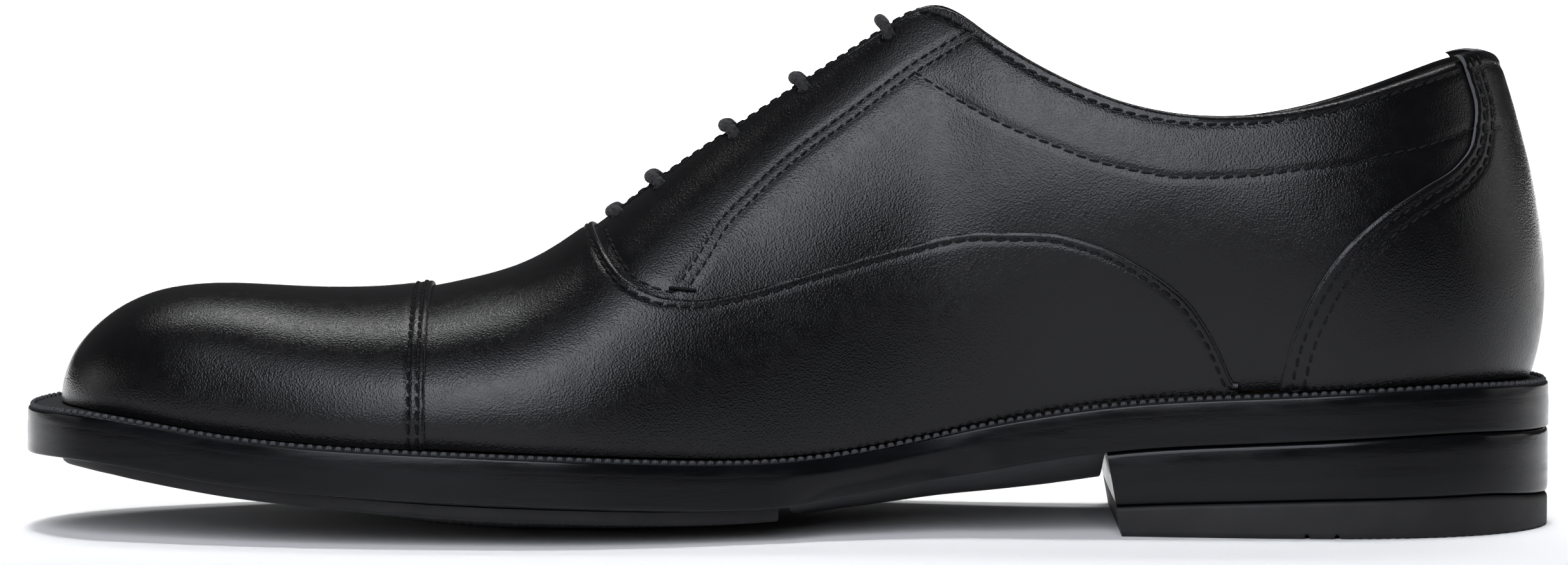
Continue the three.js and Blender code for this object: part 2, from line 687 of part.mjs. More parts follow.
function insoleBoard() {
  return slab({
    outline: featherEdge,
    end: BACK,
    ts: between(0.6, BACK - 0.15, 25),
    levels: [
      { inset: INSOLE.inset, z: (x) => WELT_TOP(x) + INSOLE.low + INSOLE.thick },
      { inset: INSOLE.inset, z: (x) => WELT_TOP(x) + INSOLE.low },
    ],
    across: 2,
  });
}

function insock() {
  const low = INSOLE.low + INSOLE.thick + GAP;
  return slab({
    outline: featherEdge,
    end: BACK,
    ts: between(0.6, BACK - 0.15, 25),
    levels: [
      { inset: SOCK.inset, z: (x) => WELT_TOP(x) + low + SOCK.thick },
      { inset: SOCK.inset, z: (x) => WELT_TOP(x) + low },
    ],
    across: 2,
  });
}

function cork() {
  const filler = slab({
    outline: soleEdge,
    end: SOLE_END,
    ts: between(1, SOLE_END - 0.8, 22),
    levels: [
      { inset: WELT.inner + 3 * GAP, z: (x) => WELT_TOP(x) + GAP },
      { inset: WELT.inner + 3 * GAP, z: (x) => WELT_TOP(x) - WELT.thick },
    ],
    across: 2,
  });
  return cut(filler, [shankStrip(GAP, WELT.thick)]);
}

function shank() {
  return shankStrip(0, SHANK.thick / 2);
}

// The shank follows the arch, set into a slot through the cork. Grown by a clearance and
// made deeper, the same strip cuts that slot.
function shankStrip(clearance, grow) {
  const from = SHANK.from - clearance;
  const to = SHANK.to + clearance;
  const half = SHANK.wide / 2 + clearance;
  const middle = (x) => WELT_TOP(x) - WELT.thick / 2;
  const rings = between(from, to, 12).map((x) => [
    new THREE.Vector3(x, half, middle(x) + grow),
    new THREE.Vector3(x, half, middle(x) - grow),
    new THREE.Vector3(x, -half, middle(x) - grow),
    new THREE.Vector3(x, -half, middle(x) + grow),
  ]);
  return loft(rings);
}

// ---------------------------------------------------------------- eyelets and lace

// The five rows of eyelets, by x, from the throat to the top.
const EYELET_X = [-35.4, -26.9, -11.8, 2.4, 19.4];
const eyeletRib = EYELET_X.map(ribAt);

function onEyelet(row, side, depth) {
  return layerPoint(eyeletRib[row], EYELET_V[row], side, depth);
}

// Stands a shape made along +Y on an eyelet's axis, with its origin at the face.
function standOnEyelet(shape, row, side) {
  const axis = faceNormal(eyeletRib[row], EYELET_V[row], side);
  const turn = new THREE.Quaternion().setFromUnitVectors(new THREE.Vector3(0, 1, 0), axis);
  const place = onEyelet(row, side, 0);
  return shape.applyQuaternion(turn).translate(place.x, place.y, place.z);
}

function punch(radius, top, bottom) {
  return new THREE.CylinderGeometry(radius, radius, top - bottom, 10).translate(0, (top + bottom) / 2, 0);
}

function eyelet(row, side) {
  const { bore, wall, flange, top, bottom } = EYELET;
  const profile = [
    [bore, bottom], [flange, bottom], [flange, bottom + 0.35], [bore + wall, bottom + 0.45],
    [bore + wall, top], [bore, top], [bore, bottom],
  ].map(([r, y]) => new THREE.Vector2(r, y));
  return standOnEyelet(new THREE.LatheGeometry(profile, 12), row, side);
}

function punched(geometry, side, radius, top, bottom) {
  return cut(geometry, range(5).map((row) => standOnEyelet(punch(radius, top, bottom), row, side)));
}

function tube(points, radius, steps, sides = 8) {
  const path = new THREE.CatmullRomCurve3(points, false, "centripetal");
  const turn = (k) => (2 * Math.PI * k) / sides;
  const ring = new THREE.Shape(
    range(sides).map((k) => new THREE.Vector2(radius * Math.cos(turn(k)), radius * Math.sin(turn(k)))),
  );
  return new THREE.ExtrudeGeometry(ring, { extrudePath: path, steps, bevelEnabled: false });
}

// Up through an eyelet, from inside the facing to its face, where the lace leans on the
// side of the hole that is nearer the edge.
function throughEyelet(row, side) {
  const points = [[-0.004, RUN_DEPTH + 0.75], [-0.001, -4.1], [0.001, -2.7], [0.008, -1.1]];
  return points.map(([dv, depth]) => layerPoint(eyeletRib[row], EYELET_V[row] + dv, side, depth));
}

// Over the facings from one side to the other.
function bar(row, from) {
  const u = eyeletRib[row];
  const over = [[-0.03, EYELET_V[row] + 0.034], [-0.08, 0.99]].map(([du, v]) => [u + du, v]);
  const near = over.map(([ahead, v]) => layerPoint(ahead, v, from, BAR_DEPTH));
  const far = over.map(([ahead, v]) => layerPoint(ahead, v, -from, BAR_DEPTH)).reverse();
  return [...near, ...far];
}

// Inside, from one row to the next along a facing.
function run(fromRow, toRow, side) {
  const along = (list, f) => mix(list[fromRow], list[toRow], f);
  const inside = (f) => layerPoint(along(eyeletRib, f), along(EYELET_V, f) - 0.01, side, RUN_DEPTH);
  return [0.3, 0.5, 0.7].map(inside);
}

// Straight bars outside and a run up one facing between them, from the throat to the top.
function lacedRoute() {
  const route = [layerPoint(eyeletRib[0], 0.83, MEDIAL, RUN_DEPTH)];
  let side = MEDIAL;
  for (const row of range(5)) {
    if (row > 0) route.push(...run(row - 1, row, side));
    route.push(...throughEyelet(row, side), ...bar(row, side), ...throughEyelet(row, -side).reverse());
    side = -side;
  }
  route.push(layerPoint(eyeletRib[4], 0.83, side, RUN_DEPTH));
  return route;
}

// Each end is tucked inside the shoe: down the wall and forward along the edge of the
// insock. The medial end, from the throat, goes on round the toe. The points are side, rib,
// height up the rib and depth, and the last one is the far end of the aglet.
const TAIL_ROUTES = {
  [MEDIAL]: [
    [MEDIAL, 12.4, 0.8, -6.55], [MEDIAL, 12.35, 0.73, -6.5], [MEDIAL, 12.2, 0.63, -6.5],
    [MEDIAL, 11.9, 0.5, -6.5], [MEDIAL, 11.5, 0.37, -6.7], [MEDIAL, 11, 0.26, -7.2],
    [MEDIAL, 10.3, 0.2, -7.6], [MEDIAL, 9.4, 0.18, -7.8], [MEDIAL, 8.5, 0.18, -7.8],
    [MEDIAL, 7.5, 0.18, -7.8], [MEDIAL, 6.5, 0.19, -7.8], [MEDIAL, 5.5, 0.2, -7.8],
    [MEDIAL, 4.5, 0.24, -7.8], [MEDIAL, 3.4, 0.33, -8], [MEDIAL, 2.2, 0.7, -8.4],
    [LATERAL, 2.2, 0.7, -8.4], [LATERAL, 3.4, 0.33, -8], [LATERAL, 4.6, 0.24, -7.8],
    [LATERAL, 5.8, 0.22, -7.8], [LATERAL, 7.5, 0.22, -7.8],
  ],
  [LATERAL]: [
    [LATERAL, 16.05, 0.8, -6.55], [LATERAL, 16, 0.73, -6.5], [LATERAL, 15.85, 0.63, -6.5],
    [LATERAL, 15.6, 0.52, -6.5], [LATERAL, 15.2, 0.4, -6.5], [LATERAL, 14.6, 0.3, -6.7],
    [LATERAL, 13.9, 0.22, -7], [LATERAL, 13, 0.17, -7.4], [LATERAL, 12, 0.16, -7.8],
    [LATERAL, 11, 0.17, -7.8], [LATERAL, 10, 0.2, -7.8], [LATERAL, 9, 0.22, -7.8],
    [LATERAL, 7.8, 0.23, -7.8],
  ],
};

const tailPoints = (side) => TAIL_ROUTES[side].map(([face, u, v, depth]) => layerPoint(u, v, face, depth));

function laceTail(side) {
  return tube(tailPoints(side).slice(0, -1), LACE_RADIUS, side === MEDIAL ? 44 : 34);
}

// The aglet goes straight on from the end of its tail.
function aglet(side) {
  const [start, toward] = tailPoints(side).slice(-2);
  const way = toward.clone().sub(start).normalize();
  const ends = [GAP, GAP + AGLET.length].map((d) => start.clone().addScaledVector(way, d));
  return tube(ends, AGLET.radius, 1, 10);
}

// ---------------------------------------------------------------- materials and assembly

const material = (color, roughness, metalness = 0) =>
  new THREE.MeshStandardMaterial({ color, roughness, metalness });
const blackCalf = material(0x121214, 0.35);
const blackLining = material(0x17171a, 0.6);
const innerBoard = material(0x4a3b2b, 0.8);
const stiffFibre = material(0x8c8474, 0.8);
const edgeBlack = material(0x15171c, 0.4);
const rubberBlack = material(0x101012, 0.7);
const corkBrown = material(0x8a6238, 0.9);
const steel = material(0x9aa0a6, 0.35, 1);
const brass = material(0xb08d45, 0.35, 1);
const laceBlack = material(0x0d0d0f, 0.8);

const shoe = new THREE.Group();

function add(name, geometry, look) {
  const mesh = new THREE.Mesh(geometry, look);
  mesh.name = name;
  shoe.add(mesh);
}

add("toe_cap", toeCap(), blackCalf);
add("vamp", vamp(), blackCalf);
add("counter", counter(), blackCalf);
add("toe_puff", toePuff(), stiffFibre);
add("vamp_interlining", interlining(), stiffFibre);
add("heel_stiffener", heelStiffener(), stiffFibre);
add("vamp_lining", vampLining(), blackLining);
add("heel_lining", heelLining(), blackLining);
add("tongue", tongue(), blackCalf);
for (const [side, word] of [[MEDIAL, "medial"], [LATERAL, "lateral"]]) {
  add(`quarter_${word}`, punched(quarter(side), side, EYELET.bore + 0.1, 0, -2.9), blackCalf);
  const barrel = EYELET.bore + EYELET.wall;
  add(`quarter_lining_${word}`, punched(quarterLining(side), side, barrel + GAP, -2.6, -6), blackLining);
  for (const row of range(5)) add(`eyelet_${word}_${row + 1}`, eyelet(row, side), brass);
}

add("welt", welt(), edgeBlack);
add("outsole", outsole(), edgeBlack);
add("half_sole", halfSole(), rubberBlack);
add("heel_block", heelBlock(), edgeBlack);
add("top_lift", topLift(), rubberBlack);
for (const [i, place] of nailPlaces().entries()) {
  add(`heel_nail_${i + 1}`, nailShape(place, NAIL.radius, NAIL.length), brass);
}
add("insole_board", insoleBoard(), innerBoard);
add("insock", insock(), blackLining);
add("cork_filler", cork(), corkBrown);
add("shank", shank(), steel);

add("lace", tube(lacedRoute(), LACE_RADIUS, 150), laceBlack);
for (const [side, word] of [[MEDIAL, "medial"], [LATERAL, "lateral"]]) {
  add(`lace_tail_${word}`, laceTail(side), laceBlack);
  add(`aglet_${word}`, aglet(side), rubberBlack);
}

export default shoe;
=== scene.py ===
import math

import bmesh
import bpy
import numpy as np
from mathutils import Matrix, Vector
from mathutils.kdtree import KDTree


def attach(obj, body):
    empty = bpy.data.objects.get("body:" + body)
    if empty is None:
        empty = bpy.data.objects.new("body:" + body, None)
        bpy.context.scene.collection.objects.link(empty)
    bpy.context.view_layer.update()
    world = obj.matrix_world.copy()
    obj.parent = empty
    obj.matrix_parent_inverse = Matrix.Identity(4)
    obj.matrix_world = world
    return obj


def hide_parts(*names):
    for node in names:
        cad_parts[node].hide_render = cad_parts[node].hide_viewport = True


# The looks of a black cap-toe oxford. Shapes are worked out in millimetres, with the toe at
# -X and the inner (medial) side at -Y, and go into Blender in metres.

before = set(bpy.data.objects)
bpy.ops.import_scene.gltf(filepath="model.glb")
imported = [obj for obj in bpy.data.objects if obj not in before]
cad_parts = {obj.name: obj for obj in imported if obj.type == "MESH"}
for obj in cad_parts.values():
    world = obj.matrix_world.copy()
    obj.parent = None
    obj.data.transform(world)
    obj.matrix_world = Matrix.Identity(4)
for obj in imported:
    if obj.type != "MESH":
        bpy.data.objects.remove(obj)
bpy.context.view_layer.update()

MM = 0.001
MEDIAL, LATERAL = -1, 1
SIDES = {MEDIAL: "medial", LATERAL: "lateral"}

# ---- driving sizes

GAP = 0.3
LEATHER = 1.1  # thickness of the upper's leather
STEP = 1.3  # how far one leather piece stands above the one it overlaps
LINING = {"front": (-2.6, -4.0), "heel": (-4.1, -5.5)}
TONGUE = {"base": 4.4, "depth": 8.2, "thick": 1.8, "crown": 3, "foot": -49, "top": 17.75, "edge": 0.66}
FOOT_GAP = 0.6
SOLE_BAND = 9.4
WELT_THICK = 3.0
HALF_SOLE = {"thick": 2.6, "inset": 4.6, "toe_inset": 7, "back": 0}
TREAD_PITCH, TREAD_DEPTH = 3.2, 0.28
BREAST = {"x": 63.3, "slope": 0.18}
INSOCK = {"inset": 6.8, "low": 3.1, "thick": 1.2}
LACE_RADIUS = 1.15
BRAID_PITCH = 4.2  # how far a strand runs in one turn round the lace
EYELET_X = [-35.4, -26.9, -11.8, 2.4, 19.4]
EYELET_V = [0.92, 0.905, 0.918, 0.926, 0.926]
RUN_DEPTH = -6.55
BAR_DEPTH = -0.12
THROAT_SINK = 0.8  # the lowest bar is pulled down into the throat
AGLET = {"radius": 1.35, "length": 20}
EYELET_HOLE, NAIL_HOLE = 1.45, 1.4
STITCH = {"pitch": 2.7, "length": 2.2, "radius": 0.3}
WELT_STITCH = {"pitch": 1.9, "length": 1.45, "radius": 0.46, "inset": 1.0}

# ---- curves


def smooth_curve(xs, ys, flat_start=False, flat_end=False):
    """The cubic spline y(x) through the knots. A flat end has zero slope there."""
    xs, ys = np.array(xs, float), np.array(ys, float)
    n, h, slope = len(xs), np.diff(xs), np.diff(ys) / np.diff(xs)
    matrix, right = np.eye(n), np.zeros(n)
    for i in range(1, n - 1):
        matrix[i, i - 1 : i + 2] = h[i - 1], 2 * (h[i - 1] + h[i]), h[i]
        right[i] = 6 * (slope[i] - slope[i - 1])
    if flat_start:
        matrix[0, :2] = 2 * h[0], h[0]
        right[0] = 6 * slope[0]
    if flat_end:
        matrix[-1, -2:] = h[-1], 2 * h[-1]
        right[-1] = -6 * slope[-1]
    moments = np.linalg.solve(matrix, right)

    def at(x):
        x = np.asarray(x, float)
        i = np.clip(np.searchsorted(xs, x) - 1, 0, n - 2)
        a = (xs[i + 1] - x) / h[i]
        b = 1 - a
        bend = (a**3 - a) * moments[i] + (b**3 - b) * moments[i + 1]
        return a * ys[i] + b * ys[i + 1] + bend * h[i] ** 2 / 6

    return at


def curve_of(points):
    return smooth_curve(*zip(*points))


def steady_curve(points):
    """A curve through (x, y) points that never swings past them."""
    xs, ys = (np.array(c, float) for c in zip(*points))
    h, step = np.diff(xs), np.diff(ys) / np.diff(xs)
    before, after = step[:-1], step[1:]
    turning = before * after <= 0
    middle = np.where(turning, 0, 2 * before * after / np.where(turning, 1, before + after))
    slopes = np.concatenate([[step[0]], middle, [step[-1]]])

    def at(x):
        x = np.clip(np.asarray(x, float), xs[0], xs[-1])
        i = np.clip(np.searchsorted(xs, x) - 1, 0, len(xs) - 2)
        t = (x - xs[i]) / h[i]
        start = (1 + 2 * t) * (1 - t) ** 2 * ys[i] + t * (1 - t) ** 2 * h[i] * slopes[i]
        end = t * t * (3 - 2 * t) * ys[i + 1] + t * t * (t - 1) * h[i] * slopes[i + 1]
        return start + end

    return at


def root(f, low, high):
    """Where a rising or falling function of an array crosses zero, between two ends."""
    low, high = np.array(low, float), np.array(high, float)
    sign = np.sign(f(low))
    for _ in range(40):
        middle = (low + high) / 2
        same = f(middle) * sign > 0
        low, high = np.where(same, middle, low), np.where(same, high, middle)
    return (low + high) / 2


def smooth_step(a, b, x):
    t = np.clip((np.asarray(x, float) - a) / (b - a), 0, 1)
    return t * t * (3 - 2 * t)


def mix(a, b, t):
    return a + (b - a) * t


def unit(v):
    return v / np.maximum(np.linalg.norm(v, axis=-1, keepdims=True), 1e-12)


def lengths(points):
    """How far along a line each of its points lies."""
    return np.concatenate([[0], np.cumsum(np.linalg.norm(np.diff(points, axis=0), axis=1))])


def evenly(values, points, spacing):
    """The values that belong to a line's points, taken again about this far apart."""
    along = lengths(points)
    count = max(int(round(along[-1] / spacing)), 1)
    return np.interp(np.linspace(0, along[-1], count + 1), along, values)


def even_line(points, spacing):
    points = np.asarray(points, float)
    return np.stack([evenly(column, points, spacing) for column in points.T], -1)


def even_ribs(start, end, spacing, v=0.35):
    """Ribs about this far apart along the shoe's wall."""
    u = np.linspace(start, end, 1200)
    return evenly(u, face_point(u, v, MEDIAL), spacing)


def even_stations(outline, start, end, spacing):
    t = np.linspace(start, end, 3000)
    return evenly(t, outline(t, MEDIAL), spacing)


# ---- the last

# The face of the upper: each rib rises from the feather line to the ridge or the topline.
# Foot: x, medial y, lateral y. Top: x, medial z, lateral z, half opening medial, lateral.
# Shape: bulge and rise of the side wall, reach and drop of the shoulder, turn in degrees.
RIBS = [
    (-145.9, -6, -6, -145.9, 25.8, 25.8, 0, 0, 0, 0, 0, 0, 0),
    (-145.2, -12.3, 0.3, -145.2, 30.6, 30.6, 0, 0, 0.5, 2.9, 3.7, 0, 0),
    (-143.1, -18.6, 6.6, -143.1, 35.2, 35.2, 0, 0, 1, 5.6, 7.3, 0, 0),
    (-139.6, -24.2, 13.2, -139.6, 39.3, 39.3, 0, 0, 1.6, 8, 10.8, 0, 0),
    (-134.9, -28.6, 19.4, -134.9, 43, 43, 0, 0, 2.2, 10.3, 14, 0, 0),
    (-128.5, -32.3, 25.1, -128.5, 46, 46, 0, 0, 2.8, 12.2, 17, 0, 0),
    (-121, -35.4, 29.6, -121, 47.5, 47.5, 0, 0, 3.2, 13.6, 19.4, 0, 0),
    (-111, -38.3, 34, -111, 47.8, 47.8, 0, 0, 3.6, 14.6, 21.5, 0, 0),
    (-96, -42.6, 39, -96, 47.1, 47.1, 0, 0, 4, 15, 23.4, 0, 0),
    (-80, -45.8, 43, -80, 47.4, 47.4, 0, 0, 4.3, 15.8, 24.5, 0, 0),
    (-66, -47.4, 45.8, -66, 49.7, 49.7, 0, 0, 4.3, 17.3, 24.6, 0, 0),
    (-53, -47.8, 47.4, -53, 53.6, 53.6, 0, 0, 4, 20, 23.5, 0, 0),
    (-41, -46.9, 47.9, -41, 61, 61, 0, 0, 3.6, 24.5, 21.5, 0.4, 0),
    (-27, -44.1, 47.4, -27, 71.6, 71.6, 2.8, 2.8, 3.2, 29, 19.5, 1.8, 0),
    (-12, -40, 46, -12, 81.9, 81.9, 3.6, 3.6, 3, 32.5, 18, 4, 0),
    (4, -35.4, 42.8, 4, 92.7, 92.7, 4, 4, 3.5, 35.5, 16.6, 7, 0),
    (18, -31.2, 39.6, 18, 102, 102, 4.6, 4.6, 4.6, 37, 15, 10, 0),
    (29, -28.6, 37.2, 29, 107, 107, 6.4, 6.4, 5.8, 37, 13, 12.5, 0),
    (39, -27, 35.5, 39, 102.3, 101.8, 13, 13.4, 7, 36, 11, 14.5, 0),
    (50, -26.2, 34.3, 50, 95.5, 94.2, 18.8, 19.6, 8, 34, 9, 15, 0),
    (64, -26.6, 33.4, 64, 89.2, 87, 23.6, 25, 8.5, 30.5, 7.6, 15, 0),
    (80, -28.3, 32.8, 79, 86, 83.2, 26.4, 28, 8, 27.5, 7, 15, 4),
    (97, -30.4, 32.2, 94, 86.2, 83.2, 27.4, 28.8, 7.4, 25, 6.6, 15.3, 9),
    (113, -31, 31, 108, 88.4, 85.8, 26.6, 27.6, 6.8, 23.5, 6.6, 16.3, 19),
    (127, -28.4, 27.6, 120.5, 91.9, 89.9, 23.6, 24, 6.4, 22, 6.8, 18.2, 35),
    (138.5, -22, 20.8, 131, 95, 94, 18.2, 18.4, 6.2, 21, 7.2, 21, 53),
    (147, -11.8, 10, 139, 96.8, 96.5, 10, 10, 6.2, 20.4, 7.8, 23.6, 72),
    (150.3, -1, -1, 143, 96, 96, 0, 0, 6.2, 20, 8.1, 25, 90),
]
BACK = len(RIBS) - 1
THROAT = 12  # the rib where the facings start to open
NUDGE = 1e-3  # a small step of u or v, for slopes

WELT_TOP = curve_of([
    (-154, 24.9), (-144, 25.2), (-131, 24), (-114, 21.6), (-98, 20.1), (-73, 18.9), (-48, 17.9),
    (-24, 16.7), (-8, 16.2), (6, 16.8), (20, 18.7), (35, 21.6), (52, 24.6), (69, 26.8), (86, 28),
    (104, 28.9), (121, 29.8), (138, 30.2), (154, 29.4),
])
RIDGE_Y = curve_of([(-147, -6), (-90, -7), (-40, -6.5), (30, -4), (100, -1.5), (150, -1)])


def rib_column(column):
    values = [row[column] for row in RIBS]
    along_x, is_side = column in (0, 3), column in (1, 2)
    return smooth_curve(range(len(RIBS)), values, along_x, not is_side and column != 12)


rib_curve = [rib_column(column) for column in range(13)]
opening_curve = [
    smooth_curve(range(THROAT, len(RIBS)), [row[column] for row in RIBS[THROAT:]]) for column in (6, 7)
]


def rib(u, side, closed=False):
    """The four control points of rib u. A closed rib ignores the facings' opening."""
    pick = 0 if side == MEDIAL else 1
    foot_x, top_x = rib_curve[0](u), rib_curve[3](u)
    turn = np.radians(rib_curve[12](u))
    out_x, out_y = np.sin(turn), side * np.cos(turn)
    opening = 0 * u if closed else np.where(u <= THROAT, 0, opening_curve[pick](np.maximum(u, THROAT)))
    drop = rib_curve[11](u) * (0.3 if closed else 1)
    foot = np.stack([foot_x, rib_curve[1 + pick](u), WELT_TOP(foot_x) + FOOT_GAP], -1)
    top = np.stack([top_x, RIDGE_Y(top_x) + side * opening, rib_curve[4 + pick](u)], -1)
    bulge, rise, reach = rib_curve[8](u), rib_curve[9](u), rib_curve[10](u)
    return (
        foot,
        foot + np.stack([out_x * bulge, out_y * bulge, rise], -1),
        top + np.stack([out_x * reach, out_y * reach, -drop], -1),
        top,
    )


def face_point(u, v, side, closed=False):
    """A point of the last's face: u counts the ribs from the toe, v runs up each rib."""
    u, v = np.broadcast_arrays(np.asarray(u, float), np.asarray(v, float))
    a, b, c, d = rib(u, side, closed)
    v = v[..., None]
    w = 1 - v
    return w**3 * a + 3 * w * w * v * b + 3 * w * v * v * c + v**3 * d


def face_normal(u, v, side, closed=False):
    u, v = np.broadcast_arrays(np.asarray(u, float), np.asarray(v, float))
    h = 0.02
    u0, u1 = np.maximum(u - h, 0.05), np.minimum(u + h, BACK)
    v0, v1 = np.maximum(v - h, 0), np.minimum(v + h, 1)
    along = face_point(u1, v, side, closed) - face_point(u0, v, side, closed)
    up = face_point(u, v1, side, closed) - face_point(u, v0, side, closed)
    return -side * unit(np.cross(along, up))


def layer_point(u, v, side, depth, closed=False):
    """A point at a depth under the face. A negative depth is inside the shoe."""
    normal = face_normal(u, v, side, closed)
    return face_point(u, v, side, closed) + normal * np.asarray(depth, float)[..., None]


def rib_at(x):
    """The rib whose top lies at this x."""
    x = np.asarray(x, float)
    return root(lambda u: rib_curve[3](u) - x, np.full(x.shape, 0.05), np.full(x.shape, float(BACK)))


def rib_of(x):
    """The same for one x, as a plain number."""
    return float(rib_at(x))


def locate(x, z, side):
    """The (u, v) of the face's points whose side view is at (x, z)."""
    us, vs = np.meshgrid(np.linspace(6, BACK - 0.1, 90), np.linspace(0.01, 0.99, 40), indexing="ij")
    net = face_point(us, vs, side)
    near = [np.argmin((net[..., 0] - a) ** 2 + (net[..., 2] - b) ** 2) for a, b in zip(x, z)]
    u, v = us.ravel()[near], vs.ravel()[near]
    for _ in range(12):
        p = face_point(u, v, side)
        du = (face_point(u + NUDGE, v, side) - p) / NUDGE
        dv = (face_point(u, v + NUDGE, side) - p) / NUDGE
        ex, ez = x - p[:, 0], z - p[:, 2]
        area = du[:, 0] * dv[:, 2] - dv[:, 0] * du[:, 2]
        area = np.where(np.abs(area) < 1e-6, 1e-6, area)
        u = np.clip(u + 0.8 * np.clip((ex * dv[:, 2] - ez * dv[:, 0]) / area, -1, 1), 0.3, BACK)
        v = np.clip(v + 0.8 * np.clip((ez * du[:, 0] - ex * du[:, 2]) / area, -0.2, 0.2), 0, 1)
    return u, v


def slide(u, v, side, distance, steps=6):
    """A line on the face moved sideways along it: a positive distance is to the left of the
    line's own direction, seen from outside the shoe."""
    for _ in range(steps):
        p = face_point(u, v, side)
        ahead = (face_point(np.minimum(u + NUDGE, BACK), v, side) - p) / NUDGE
        behind = (p - face_point(u - NUDGE, v, side)) / NUDGE
        du = np.where(np.abs(ahead).sum(-1, keepdims=True) < 1e-9, behind, ahead)
        dv = (p - face_point(u, v - NUDGE, side)) / NUDGE
        aim = unit(np.cross(face_normal(u, v, side), unit(np.gradient(p, axis=0)))) * distance / steps
        a, b, c = (du * du).sum(-1), (du * dv).sum(-1), (dv * dv).sum(-1)
        e, f = (du * aim).sum(-1), (dv * aim).sum(-1)
        area = a * c - b * b
        u = np.clip(u + (c * e - b * f) / area, 0.1, BACK)
        v = np.clip(v + (a * f - b * e) / area, 0, 1)
    return u, v


# ---- mesh helpers


def mesh_object(name, points, faces, looks, picks=None, crease=38):
    """A mesh object from points in millimetres. picks says which look each face takes."""
    mesh = bpy.data.meshes.new(name)
    mesh.from_pydata((np.asarray(points) * MM).tolist(), [], [[int(i) for i in f] for f in faces])
    for look in looks:
        mesh.materials.append(look)
    if picks is not None:
        mesh.polygons.foreach_set("material_index", np.asarray(picks, np.int32))
    shape = bmesh.new()
    shape.from_mesh(mesh)
    bmesh.ops.recalc_face_normals(shape, faces=shape.faces)
    shape.to_mesh(mesh)
    shape.free()
    mesh.polygons.foreach_set("use_smooth", np.ones(len(mesh.polygons), bool))
    mesh.set_sharp_from_angle(angle=math.radians(crease))
    mesh.update()
    piece = bpy.data.objects.new(name, mesh)
    bpy.context.scene.collection.objects.link(piece)
    return piece


def settle(piece, slot, *nodes, body="shoe"):
    """Puts a piece on its body and hides the solids that it stands for."""
    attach(piece, body)
    if nodes:
        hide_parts(*nodes)


def grid_quads(ids, closed=False):
    """The quads of a grid of point numbers. A closed grid's rows run round."""
    left, right = (ids, np.roll(ids, -1, axis=1)) if closed else (ids[:, :-1], ids[:, 1:])
    return np.stack([left[:-1], left[1:], right[1:], right[:-1]], -1).reshape(-1, 4)


def depth_at(depth, u, v):
    """A depth at each point, where it is one number or follows them."""
    return depth(u, v) if callable(depth) else np.full(u.shape, float(depth))


def shell(name, patches, outer, inner, looks, closed=False, dents=None):
    """A leather piece between two depths, over patches of (side, us, vs) grids. Patches that
    meet on the ridge or at the back seam are joined, and cut edges get crisp walls."""
    spots, quads = {}, []
    for side, us, vs in patches:
        ids = np.empty(us.shape, int)
        for i, j in np.ndindex(us.shape):
            u, v = us[i, j], vs[i, j]
            shared = (v == 1 and (closed or u <= THROAT)) or u == BACK
            ids[i, j] = spots.setdefault((0 if shared else side, u, v), (len(spots), side))[0]
        quads.append(grid_quads(ids) if side == MEDIAL else grid_quads(ids)[:, ::-1])
    n, quads = len(spots), np.concatenate(quads)
    u, v = (np.array([key[k] for key in spots]) for k in (1, 2))
    sides = np.array([side for _, side in spots.values()])
    top, bottom = np.empty((n, 3)), np.empty((n, 3))
    for side in set(sides.tolist()):
        m = sides == side
        over = depth_at(outer, u[m], v[m])
        if dents is not None:
            over = over - dents(layer_point(u[m], v[m], side, over, closed))
        top[m] = layer_point(u[m], v[m], side, over, closed)
        bottom[m] = layer_point(u[m], v[m], side, depth_at(inner, u[m], v[m]), closed)
    edges = {(int(a), int(b)) for quad in quads for a, b in zip(quad, np.roll(quad, -1))}
    rim = [(a, b) for a, b in edges if (b, a) not in edges]
    ring = sorted({a for edge in rim for a in edge})
    upper = {a: 2 * n + k for k, a in enumerate(ring)}
    lower = {a: 2 * n + len(ring) + k for k, a in enumerate(ring)}
    walls = [(upper[a], lower[a], lower[b], upper[b]) for a, b in rim]
    points = np.concatenate([top, bottom, top[ring], bottom[ring]])
    faces = quads.tolist() + (quads[:, ::-1] + n).tolist() + walls
    picks = [0] * len(quads) + [1] * len(quads) + [2] * len(walls)
    return mesh_object(name, points, faces, looks, picks)


def loft(name, rings, looks, pick=None):
    """A closed body through rings of points, with flat ends."""
    rings = np.asarray(rings, float)
    n, m = rings.shape[:2]
    ids = np.arange(n * m).reshape(n, m)
    quads = grid_quads(ids, closed=True).tolist()
    picks = None if pick is None else [pick(k % m) for k in range(len(quads))] + [0, 0]
    faces = quads + [ids[0].tolist(), ids[-1][::-1].tolist()]
    return mesh_object(name, rings.reshape(-1, 3), faces, looks, picks)


def sweep(name, path, radius, looks, around=20, relief=None, taper=0):
    """A tube along a line of points. relief(along, angle) gives the radius's factor."""
    path = np.asarray(path, float)
    tangent = unit(np.gradient(path, axis=0))
    up = np.array([0.0, 0.0, 1.0]) if abs(tangent[0][2]) < 0.9 else np.array([0.0, 1.0, 0.0])
    frames = []
    for t in tangent:
        up = unit(up - t * (up @ t))
        frames.append((up, np.cross(t, up)))
    along = lengths(path)
    angle = np.linspace(0, 2 * np.pi, around, endpoint=False)
    factor = relief(along[:, None], angle[None]) if relief else np.ones((len(path), around))
    if taper:
        ends = np.minimum(along, along[-1] - along) / taper
        factor = factor * np.sqrt(np.clip(1 - (1 - np.clip(ends, 0, 1)) ** 2, 0.02, 1))[:, None]
    u, v = (np.array([f[k] for f in frames]) for k in (0, 1))
    turn = np.cos(angle)[None, :, None] * u[:, None] + np.sin(angle)[None, :, None] * v[:, None]
    return loft(name, path[:, None] + radius * factor[..., None] * turn, looks)


